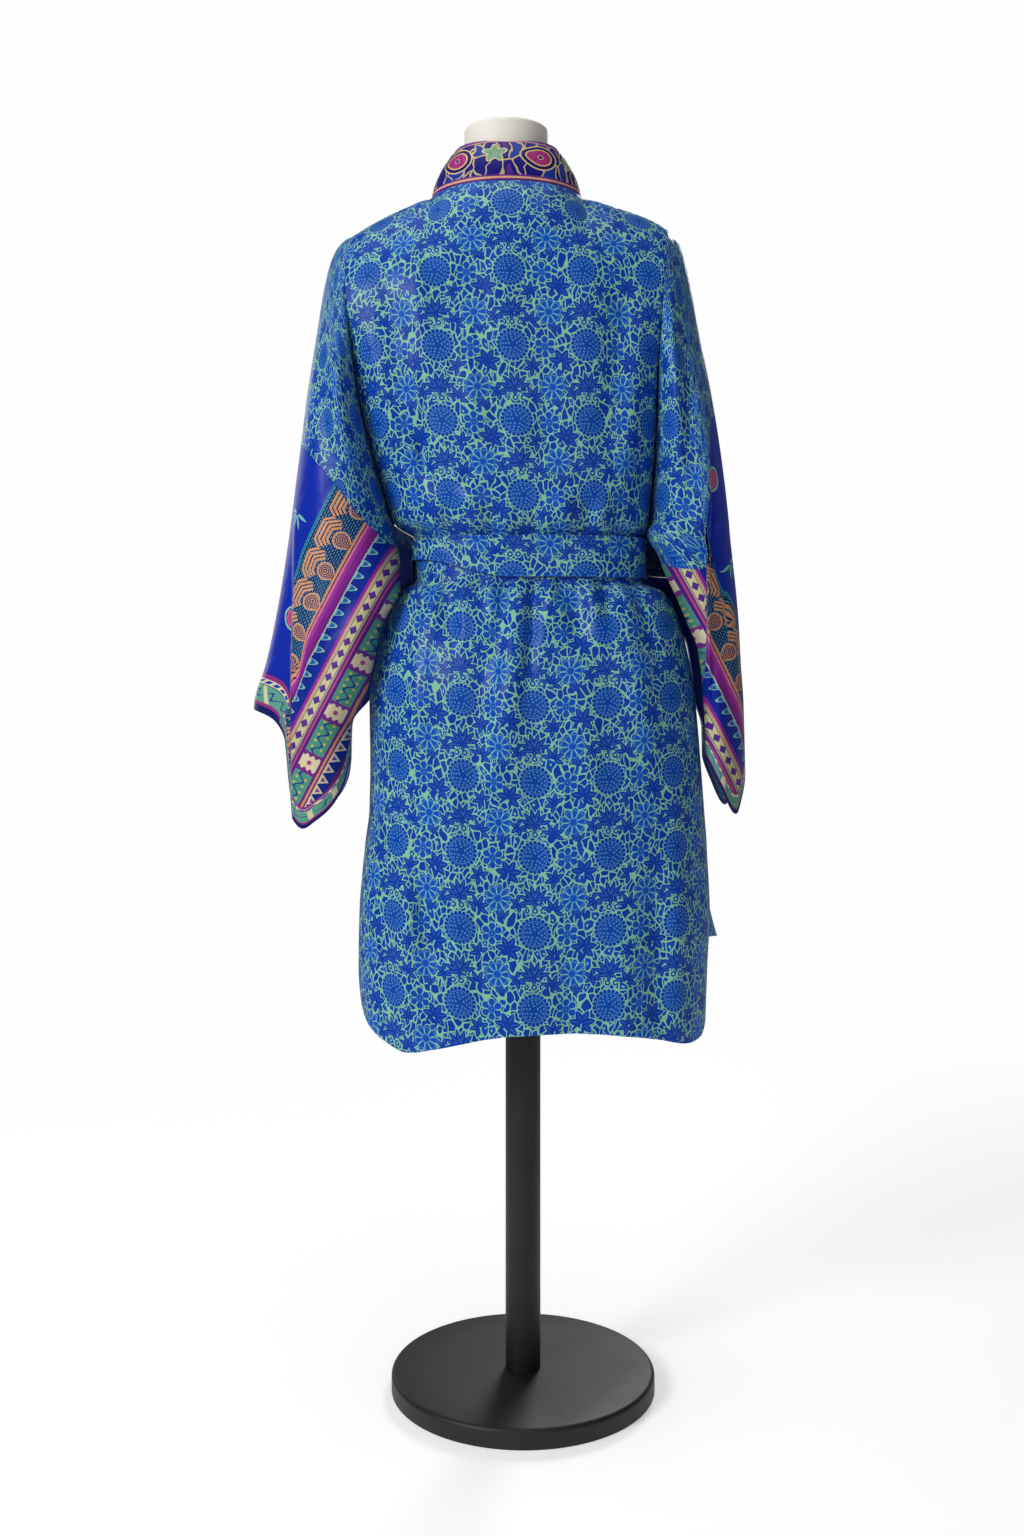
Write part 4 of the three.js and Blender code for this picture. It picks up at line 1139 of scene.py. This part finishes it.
def satin_finish(tree, place, printed):
    """Satin weave: long floats give a soft streaky gloss, a weaker one on the reverse.

    The threads are 0.12 mm apart, far too fine to show, so the weave is drawn at 1.1 mm.
    """
    axes = add(tree, "ShaderNodeSeparateXYZ", {0: place})
    known = {"x": axes.outputs[0], "y": axes.outputs[1]}
    for name in ("reverse", "hem"):
        known[name] = add(tree, "ShaderNodeAttribute", attribute_name=name).outputs["Fac"]
    crumple = add(tree, "ShaderNodeMapping", {0: place, "Scale": (0.034, 0.017, 1)}).outputs[0]
    crumple = {0: crumple, "Scale": 1.0, "Detail": 2.5, "Distortion": 0.6}
    known["crumple"] = add(tree, "ShaderNodeTexNoise", crumple).outputs["Fac"]
    floats = add(tree, "ShaderNodeMapping", {0: place, "Scale": (0.9, 0.16, 1)}).outputs[0]
    floats = {0: floats, "Scale": 1.0, "Detail": 1.0}
    known["floats"] = add(tree, "ShaderNodeTexNoise", floats).outputs["Fac"]
    drawn = draw(
        tree,
        known,
        # a narrow hem, turned twice and stitched 7 mm from the edge
        stitches="exp(0 - (hem - 7) * (hem - 7) / 0.5) * (0.55 + 0.45 * (part((x + y) / 3.2) < 0.7))",
        turned="0.5 * (hem < 7)",
        height="crumple * 4.2 + floats * 0.05 + turned - 0.35 * stitches",
        rough="0.37 + 0.16 * (floats - 0.5) + 0.22 * reverse",
    )
    base = inked(tree, drawn, printed, ("0.35 * reverse", "#6F93C4"))
    gloss = {"IOR": 1.53, "Specular_IOR_Level": 0.16}
    sheen = {"Sheen_Weight": 0.02, "Sheen_Roughness": 0.4, "Sheen_Tint": "#BFD8F0"}
    finish(tree, drawn, base, 0.001, 0.55, **gloss, **sheen)


# Printed polyester satin of the body, belt and upper sleeves: beaded rosettes, daisies and
# fans of leaves in two blues on a mint ground, in rows every REPEAT, with small leaves between.
REPEAT = 81
FAN = {
    "dx": "wrap(x - fan_x, half, low)",
    "dy": "wrap(y - fan_y, half, low)",
    "away": "sqrt(dx * dx + dy * dy)",
    "turned": "wrap(angle(dx, dy) - turn, 3.1416, -3.1416)",
    "stray": "away * abs(wrap(turned, spacing, 0 - spacing))",
    "leaf": "broad * abs(sin(3.1416 * least(away / reach, 1))) ** 0.65",
    "beyond": "0.4 * most(away - reach, 0) + 9 * (abs(turned) > spread)",
    "outside": "stray - leaf + beyond",
    "rib": "(stray < 0.3) * (away > 0.3 * reach) * (away < 0.8 * reach)",
}
FANS = (
    # place, turn, half the angle from leaf to leaf, length, half width and spread of the leaves
    (0.0, -47.0, 0.25, 0.25, 18.5, 2.9, 1.72),
    (0.0, -46.0, 3.1, 0.5, 9.0, 2.6, 1.2),
    (28.5, -18.0, -0.5, 0.46, 14.5, 3.9, 2.7),
    (34.0, 13.0, 0.1, 0.3, 13.0, 2.4, 0.88),
    (-19.5, 25.0, -0.4, 0.42, 13.5, 2.8, 2.1),
    (18.0, 31.0, 2.2, 0.55, 10.0, 2.9, 2.7),
    (-21.0, -23.0, 0.9, 0.5, 11.5, 2.9, 2.5),
)
floral_satin, tree = new_material("floral_printed_satin")
place, axes = printed_place(tree)
axes.update(half=REPEAT / 2, low=-REPEAT / 2)
warp = {"Scale": 0.05, "Detail": 1.0}
ink_noise = add(tree, "ShaderNodeTexNoise", {0: place, "Scale": 0.9, "Detail": 2.0})
known = {
    **axes,
    **crowded_leaves(tree, place, warp, bend=16, turn=0.45, stretch=(1.1, 0.74), size=0.128),
    "speck": ink_noise.outputs["Fac"],
    "fans": 9.0,
    "ribs": 0.0,
}
for fan_x, fan_y, turn, spacing, reach, broad, spread in FANS:
    shape = {"fan_x": fan_x, "fan_y": fan_y, "turn": turn, "spacing": spacing}
    shape.update(reach=reach, broad=broad, spread=spread)
    drawn = draw(tree, {**known, **shape}, **FAN, nearer="least(fans, outside)", lines="most(ribs, rib)")
    known.update(fans=drawn["nearer"], ribs=drawn["lines"])
floral = draw(
    tree,
    known,
    # rosette: a scalloped edge round rings of beads
    **round_flower("a", "wrap(x, half, low)", "wrap(y, half, low)"),
    scallops="abs(sin(at * 11))",
    rosette="ar - 15.9 - 1.9 * scallops ** 0.6",
    ring="whole(ar / 3.1)",
    beads="(abs(part(ar / 3.1) - 0.5) < 0.26) * (sin(at * ring * 5) > 0.25) * (ar < 12.4)",
    notches="(ar > 14.2) * (scallops < 0.34) + (abs(ar - 13.2) < 0.35)",
    # daisy: nine petals round a ringed eye
    **round_flower("b", "wrap(x - 40, half, low)", "wrap(y - 36, half, low)"),
    petals="abs(sin(bt * 4.5))",
    daisy="br - 8 - 7.4 * petals ** 0.55",
    daisy_gaps="(br * petals < 2.6) * (br > 5.4)",
    daisy_lines="(abs(br - 4.4) < 0.7) + (abs(br - 9.5 - 3.4 * petals) < 0.45)",
    # small six-petalled flower
    **round_flower("c", "wrap(x + 35, half, low)", "wrap(y + 2, half, low)"),
    lobes="abs(sin(ct * 3))",
    flower="cr - 6.2 - 5.4 * lobes ** 0.6",
    flower_gaps="(cr * lobes < 1.8) * (cr > 4.6)",
    flower_lines="(abs(cr - 3.6) < 0.6) + (cr < 1.2)",
    # a row of loops over each rosette
    loop_x="wrap(x, 4.4, -4.4)",
    loop_y="wrap(y - 24.4, half, low)",
    loop="abs(sqrt(loop_x * loop_x + loop_y * loop_y) - 2.3) - 0.9 + 9 * (abs(ax) > 8.8)",
    # what is printed in blue, and what is left between
    nearest="least(least(rosette, daisy), least(least(fans, flower), loop))",
    leaflet="(edge * 7.8 > 0.68) * (core < 0.66) * (nearest > 1.15)",
    hollow="(core < 0.13) * (cell > 0.74)",
    gaps="most(daisy_gaps * (daisy < 0), flower_gaps * (flower < 0))",
    blue="most((nearest < 0) * (1 - gaps), leaflet * (1 - hollow))",
    in_rosette="(rosette < 0) * least(beads + notches, 1)",
    in_daisy="(daisy < 0) * least(daisy_lines, 1)",
    in_rest="(fans < 0) * ribs + (flower < 0) * flower_lines",
    fine_lines="least(in_rosette * 0.85 + in_daisy * 0.8 + in_rest * 0.5, 1) * (0.5 + 0.9 * speck)",
    paler_leaves="0.4 * (cell > 0.7) * (nearest > 0)",
    paler="least(0.7 * (daisy < 0) + 0.5 * (flower < 0) + paler_leaves + 0.35 * speck, 1)",
)
blue = inked(
    tree,
    floral,
    "#0236A6",
    ("paler", "#0C56C8"),
    ("(ar < 14) * 0.22", "#1468C6"),
    ("fine_lines", "#5AA0CE"),
)
printed = inked(tree, floral, "#9ADBB4", ("speck", "#76BEA0"), ("blue", blue))
satin_finish(tree, place, printed)


# Border print of the lower sleeves: x runs across the stripes and y along them, on one
# cloth with the plain cobalt field (x < 0). Pods, teeth and blocks are simple repeats.
border_satin, tree = new_material("border_printed_satin")
place, axes = printed_place(tree)
ink_noise = add(tree, "ShaderNodeTexNoise", {0: place, "Scale": 0.35, "Detail": 3.0})
hem = add(tree, "ShaderNodeAttribute", attribute_name="hem").outputs["Fac"]
border = draw(
    tree,
    {**axes, "speck": ink_noise.outputs["Fac"], "hem": hem},
    wavy="x + 1.2 * (speck - 0.5)",
    # rows of running stitches over the navy stripe
    stitch_row="whole(x / 2.7)",
    stitches="(part(x / 2.7) < 0.42) * (part((y + x * 0.3) / 5.2 + stitch_row * 0.43) < 0.72)",
    # paisley pods: a drop with beaded rings, under nested angular arches
    px="x - 36",
    py="wrap(y - 50, 18.8, -18.8)",
    pr="sqrt(px * px + py * py)",
    pt="angle(py - px * 0.2, px + py * 0.1)",
    drop="pr - 9.8 * (1 + 0.45 * exp(0 - pt * pt / 0.16))",
    pod="drop < 0",
    pod_rings="(part(pr / 2.3) < 0.5) * (0.35 + 0.65 * (part(pt * 2.6) < 0.6)) + (drop > -1.4)",
    hexagon="most(abs(px) * 0.62 + abs(py) * 0.86, abs(px))",
    bend="angle(py, 0 - px)",
    arched="(hexagon > 12.7) * (hexagon < 29.5) * (bend > -1.12) * (bend < 0.78)",
    arches="(part(hexagon / 4.3) < 0.62) * arched",
    # scalloped teeth on the wide blue stripe
    tooth_at="abs(wrap(y, 7.6, -7.6) + (x - 67) * 0.22)",
    tooth_high="9.6 - tooth_at * tooth_at * 0.55",
    teeth="(x > 66) * (x - 67 < tooth_high)",
    tooth_core="(x - 67 < tooth_high - 2.6) * teeth * (x > 68.4)",
    # chain of lozenges
    links="(abs(wrap(y, 7.2, -7.2)) * 0.8 + abs(wavy - 94) < 4.4) * (x > 80)",
    # blocks: a long sea-green one, then a short cream one
    block_y="wrap(y - 12, 31, -31)",
    block_x="x - 119",
    in_blocks="abs(block_x) < 10.6",
    green_block="in_blocks * (abs(block_y + 10) < 19)",
    cream_block="in_blocks * (abs(block_y - 20.6) < 7.4 + 1.4 * sin(x * 0.9))",
    vine="green_block * (abs(block_x - 4 * sin(y * 0.42)) < 1.3)",
    bud="sqrt(wrap(y, 3.75, -3.75) ** 2 + (abs(block_x) - 5.4) ** 2)",
    eye="sqrt(block_x ** 2 + (block_y - 20.6) ** 2)",
    # triangles on the far blue stripe
    triangle="x - 138 + abs(wrap(y, 6.6, -6.6)) * 1.7",
    # roses and sprigs in the cobalt field
    field="x < 0",
    **round_flower("r", "x + 50", "wrap(y - 156, 100, -100)"),
    rose="(rr < 9.5 + 1.4 * abs(sin(rt * 4))) * field",
    rose_rings="least((abs(rr - 6.4) < 0.7) + (abs(rr - 2.6) < 0.6), 1)",
    **round_flower("s", "wrap(y - 48, 47.5, -47.5)", "x + 29"),
    sprig="(sr < 20 * (1 - 1.15 * fold(st, 0.36) * 2.78)) * (abs(st) < 1.9) * field * (sr > 3)",
    # cuff border, measured from the hem
    cuff="hem < 44 - 20 * (x > 0)",
    depth="hem * (1 + 0.83 * (x > 0))",
    cuff_magenta="cuff * least((abs(depth - 41) < 2.6) + (abs(depth - 10) < 2), 1)",
    cuff_cream="cuff * (depth > 32) * (depth < 38.4)",
    cuff_ovals="cuff_cream * (abs(part((x + y) / 11) - 0.5) < 0.3) * (abs(depth - 35.2) < 2)",
    cuff_green="cuff * (depth > 12) * (depth < 31)",
    cuff_corner="cuff_green * (abs(part((x - y) / 46) - 0.5) > 0.4)",
    cuff_scroll="cuff_green * (abs(depth - 21.5 - 4 * sin((x + y) * 0.33)) < 1.2)",
)
BORDER_WIDTH = 160
STRIPES = (
    # where it starts, from the double line (0) to the far edge, and its colour
    (0.0, "#2E97A8"), (0.8, "#0F2C94"), (1.8, "#2E97A8"), (2.6, "#081E5C"), (47.2, "#E9A36C"),
    (49.4, "#3A1C72"), (50.8, "#E87FA8"), (53.6, "#A93AA6"), (57.0, "#8A2795"), (62.0, "#7A1F8C"),
    (65.2, "#BFD8B4"), (66.4, "#0C2A9E"), (82.0, "#8E2A9E"), (85.4, "#E0738F"), (86.6, "#B9B585"),
    (89.0, "#2B1C66"), (89.8, "#D6CE9C"), (98.4, "#2B1C66"), (99.2, "#B9B585"), (100.6, "#7A2C96"),
    (103.0, "#C2507C"), (104.4, "#4B2188"), (107.0, "#7C2E94"), (131.0, "#4B2188"), (132.4, "#E59862"),
    (134.4, "#6E2A8E"), (136.4, "#E3A877"), (137.6, "#0E2A90"), (150.0, "#6E2A6E"), (152.0, "#101C60"),
)
share = draw(tree, {"wavy": border["wavy"], "wide": BORDER_WIDTH}, share="wavy / wide")["share"]
stripes = add(tree, "ShaderNodeValToRGB", {"Fac": share})
ramp = stripes.color_ramp
ramp.interpolation = "CONSTANT"
for i, (start, ink) in enumerate(STRIPES):
    stop = ramp.elements[i] if i < 2 else ramp.elements.new(start / BORDER_WIDTH)
    stop.position = start / BORDER_WIDTH
    stop.color = colour(ink)
pods = inked(
    tree,
    border,
    "#081E5C",
    ("stitches * (0.6 + 0.4 * speck)", "#5FA6CC"),
    ("arches", "#E4A070"),
    ("pod", "#2A2460"),
    ("pod * least(pod_rings, 1)", "#E9AE84"),
)
printed = inked(
    tree,
    border,
    stripes.outputs["Color"],
    ("(x > 2.6) * (x < 47)", pods),
    ("teeth", "#8FCBB0"),
    ("tooth_core", "#2F62C0"),
    ("links", "#5A2A94"),
    ("green_block", "#4F9F88"),
    ("vine", "#1C3C9A"),
    ("green_block * (bud < 1.7)", "#C8C06A"),
    ("cream_block", "#EBDAB4"),
    ("cream_block * (eye < 2.6)", "#B0487E"),
    ("(triangle < 10) * (x > 137)", "#DCD3AE"),
    ("(triangle < 6.4) * (x > 139.4)", "#7A3C96"),
    ("field", "#0A2CB0"),
    ("sprig", "#86CFB4"),
    ("(rr < 14.5) * (rr > 11.8) * field", "#9CCBA4"),
    ("rose", "#DB5C93"),
    ("rose * rose_rings", "#8E2A72"),
    ("cuff", "#101C66"),
    ("cuff_green", "#62A992"),
    ("cuff_scroll", "#23409C"),
    ("cuff_corner", "#E2D9B0"),
    ("cuff_cream", "#E6DDB6"),
    ("cuff_ovals", "#1F3FA6"),
    ("cuff_magenta", "#9A2F86"),
)
satin_finish(tree, place, printed)


# Collar print of the neckband: x along it from the middle of the neck, y up from its
# seam. Gold-lined rosettes among broad leaves between two edge lines.
collar_satin, tree = new_material("collar_printed_satin")
place, axes = printed_place(tree)
warp = {"Scale": 0.05, "Detail": 1.5}
ink_noise = add(tree, "ShaderNodeTexNoise", {0: place, "Scale": 0.3, "Detail": 3.0})
leaves = crowded_leaves(tree, place, warp, bend=22, turn=0.7, stretch=(1, 0.55), size=0.068)
collar = draw(
    tree,
    {**axes, **leaves, "speck": ink_noise.outputs["Fac"]},
    # rosettes every 98 mm, drawn out to one side like a seed
    cx="wrap(x - 39, 49, -49)",
    cy="(y - 31) * 1.12",
    cr="sqrt(cx * cx + cy * cy)",
    ct="angle(cy + cx * 0.18, cx)",
    seed="cr - 13.5 * (1 + 0.42 * exp(0 - (3.14 - abs(ct)) * (3.14 - abs(ct)) / 0.3))",
    halo="(seed > 0) * (seed < 4.6)",
    heart="sqrt((cx + 1) * (cx + 1) + cy * cy)",
    # sage patch half way between two rosettes
    gx="wrap(x + 14, 49, -49)",
    patch="sqrt(gx * gx * 0.8 + (y - 35) * (y - 35)) - 10.5 - 2.8 * sin(angle(y - 35, gx) * 5)",
    leaf="edge * 14.7 > 0.85",
    rib="edge * 14.7 > 4.6",
    outer_line="(y < 1.8) + (y > 54.4)",
    peach_line="(abs(y - 3.0) < 1.2) + (abs(y - 52.9) < 0.7)",
    inner_line="(abs(y - 5.2) < 1.0) + (abs(y - 51.8) < 0.5)",
)
printed = inked(
    tree,
    collar,
    "#CDB682",
    ("leaf", "#17157A"),
    ("leaf * (cell > 0.72)", "#1E3CA0"),
    ("rib * (cell < 0.3)", "#5A2A8C"),
    ("patch < 0", "#86B196"),
    ("(patch < 0) * (speck > 0.56)", "#7C9A4E"),
    ("abs(patch + 0.4) < 0.8", "#E6D8A4"),
    ("halo", "#1A1262"),
    ("abs(seed - 5.4) < 0.9", "#E0CB8C"),
    ("seed < 0", "#B4327C"),
    ("(seed < 0) * (speck > 0.52)", "#9C2A80"),
    ("abs(seed + 0.9) < 0.95", "#E3C07C"),
    ("heart < 3.6", "#E3C07C"),
    ("heart < 2.6", "#22207C"),
    ("least(peach_line, 1)", "#E8AE7E"),
    ("least(outer_line + inner_line, 1)", "#6E2C90"),
)
satin_finish(tree, place, printed)


# Cotton jersey over the padded form: a matt knit, its 0.9 mm stitches drawn at 2 mm.
form_cloth, tree = new_material("cotton_jersey")
place = add(tree, "ShaderNodeTexCoord").outputs["Object"]
rows = add(tree, "ShaderNodeTexWave", {0: place, "Scale": 80.0, "Distortion": 1.5}, bands_direction="Z")
fuzz = add(tree, "ShaderNodeTexNoise", {0: place, "Scale": 900.0, "Detail": 2.0})
stains = add(tree, "ShaderNodeTexNoise", {0: place, "Scale": 14.0, "Detail": 3.0})
knit = draw(
    tree,
    {"rows": rows.outputs["Fac"], "fuzz": fuzz.outputs["Fac"], "stains": stains.outputs["Fac"]},
    height="rows * 0.35 + fuzz * 0.2",
    rough="0.8 + 0.12 * fuzz",
    tone="0.5 * stains + 0.25 * rows",
)
finish(tree, knit, inked(tree, knit, "#E9E1D2", ("tone", "#D8CDBA")), 0.0004, 0.4, Sheen_Weight=0.15)


# Neck plug of painted beech: an eggshell coat over turned wood, faintly ribbed by it.
painted_beech, tree = new_material("painted_beech")
place = add(tree, "ShaderNodeTexCoord").outputs["Object"]
grain = add(tree, "ShaderNodeMapping", {0: place, "Scale": (60, 60, 420)})
grain = add(tree, "ShaderNodeTexNoise", {0: grain.outputs[0], "Scale": 1.0, "Detail": 3.0})
marks = add(tree, "ShaderNodeTexNoise", {0: place, "Scale": 30.0, "Detail": 4.0})
coat = draw(
    tree,
    {"height": grain.outputs["Fac"], "marks": marks.outputs["Fac"]},
    rough="0.44 + 0.16 * marks",
    tone="0.35 * marks + 0.15 * height",
)
finish(tree, coat, inked(tree, coat, "#FCF8F0", ("tone", "#EEE4D4")), 0.0003, 0.3)


# Powder-coated steel of the stand: satin black with a fine orange peel, which blurs
# its highlights, and a lighter colour in blotches on the faces that point up.
black_steel, tree = new_material("powder_coated_steel")
place = add(tree, "ShaderNodeTexCoord").outputs["Object"]
peel = add(tree, "ShaderNodeTexNoise", {0: place, "Scale": 420.0, "Detail": 2.0})
# blotchy noise, for the roughness and for the lighter colour painted on upward faces
dust = add(tree, "ShaderNodeTexNoise", {0: place, "Scale": 22.0, "Detail": 5.0, "Roughness": 0.65})
facing = add(tree, "ShaderNodeSeparateXYZ", {0: add(tree, "ShaderNodeNewGeometry").outputs["Normal"]})
steel = draw(
    tree,
    {"height": peel.outputs["Fac"], "dust": dust.outputs["Fac"], "up": facing.outputs[2]},
    rough="0.42 + 0.14 * dust",
    # a lighter colour painted on faces that point up, stronger in blotches
    tone="most(up, 0) * (0.25 + 0.5 * dust) * 0.4",
)
finish(tree, steel, inked(tree, steel, "#101010", ("tone", "#282828")), 0.00012, 0.5)


# ---- Riding, slots and what each piece stands for ----
def dress(piece, node, material):
    piece.data.materials.append(material)
    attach(piece, "root")
    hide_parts(node)


dress(back, "back", floral_satin)
dress(neckband, "neckband", collar_satin)
dress(belt, "belt", floral_satin)
dress(knot, "belt_knot", floral_satin)
for name in ("left", "right"):
    dress(fronts[name], f"front_{name}", floral_satin)
    dress(sleeves[name], f"sleeve_{name}", floral_satin)
    dress(bands[name], f"sleeve_band_{name}", border_satin)
for name in ("a", "b"):
    dress(tails[name], f"belt_tail_{name}", floral_satin)
dress(torso, "form_torso", form_cloth)
dress(cap, "form_neck", painted_beech)
dress(base, "stand_base", black_steel)
dress(pole, "stand_pole", black_steel)


# ---- Floor, light and camera ----
bpy.ops.mesh.primitive_circle_add(vertices=96, radius=9, fill_type="NGON")
floor = bpy.context.object
floor.name = "floor"
material, tree = new_material("studio_floor")
place = add(tree, "ShaderNodeTexCoord").outputs["Object"]
radius = add(tree, "ShaderNodeVectorMath", {0: place}, operation="LENGTH").outputs["Value"]
# lit paint within 0.45 m of the middle, a plain glow from 2.2 m on
fade = {0: radius, 1: 0.45, 2: 2.2}
fade = add(tree, "ShaderNodeMapRange", fade, interpolation_type="SMOOTHSTEP").outputs[0]
paint = add(tree, "ShaderNodeBsdfPrincipled", {"Base Color": "#F4F4F4", "Roughness": 0.6})
seen = add(tree, "ShaderNodeLightPath").outputs["Is Camera Ray"]
near_glow = add(tree, "ShaderNodeMapRange", {0: seen, 3: 0.25, 4: 0.39}).outputs[0]
far_glow = add(tree, "ShaderNodeMapRange", {0: seen, 3: 0.3, 4: 1.0}).outputs[0]
near = add(tree, "ShaderNodeEmission", {"Color": "#FDFDFD", "Strength": near_glow})
lit = add(tree, "ShaderNodeAddShader", {0: paint.outputs[0], 1: near.outputs[0]})
far = add(tree, "ShaderNodeEmission", {"Color": "#FEFEFE", "Strength": far_glow})
both = add(tree, "ShaderNodeMixShader", {0: fade, 1: lit.outputs[0], 2: far.outputs[0]})
add(tree, "ShaderNodeOutputMaterial", {"Surface": both.outputs[0]})
floor.data.materials.append(material)

world = bpy.data.worlds.new("studio")
bpy.context.scene.world = world
world.use_nodes = True
tree = world.node_tree
tree.nodes.clear()
seen = add(tree, "ShaderNodeLightPath").outputs["Is Camera Ray"]
strength = add(tree, "ShaderNodeMapRange", {0: seen, 3: 0.12, 4: 1.0}).outputs[0]
sky = add(tree, "ShaderNodeBackground", {"Color": "#FEFEFE", "Strength": strength})
add(tree, "ShaderNodeOutputWorld", {"Surface": sky.outputs[0]})

LIGHTS = (
    # name, place, aim, size, watts
    ("key", (2.25, 2.2, 2.1), (0, 0, 0.95), 1.3, 61),
    ("fill", (-0.6, 2.8, 1.3), (0, 0, 0.9), 1.6, 6),
    ("overhead", (0.3, 0.2, 3.2), (0, 0, 0), 2.2, 18),
    ("front_key", (-0.7, -2.6, 2.2), (0, 0, 0.95), 1.0, 30),
    ("front_fill", (1.6, -2.2, 1.4), (0, 0, 0.9), 1.5, 7),
)
for name, place, aim, size, watts in LIGHTS:
    light = bpy.data.lights.new(name, "AREA")
    light.shape = "DISK"
    light.size = size
    light.energy = watts
    lamp = bpy.data.objects.new(name, light)
    lamp.location = place
    lamp.rotation_euler = (Vector(aim) - Vector(place)).to_track_quat("-Z", "Y").to_euler()
    bpy.context.scene.collection.objects.link(lamp)

# level, 1.82 m behind the stand's middle and 0.84 m up, its view shifted down
lens = bpy.data.cameras.new("camera")
lens.lens = 37.27
lens.sensor_width = 36
lens.shift_y = -0.0736
camera = bpy.data.objects.new("camera", lens)
camera.location = (0.0126, 1.82, 0.836)
camera.rotation_euler = (math.pi / 2, 0, math.pi)
bpy.context.scene.collection.objects.link(camera)
bpy.context.scene.camera = camera
bpy.context.scene.view_settings.view_transform = "Standard"
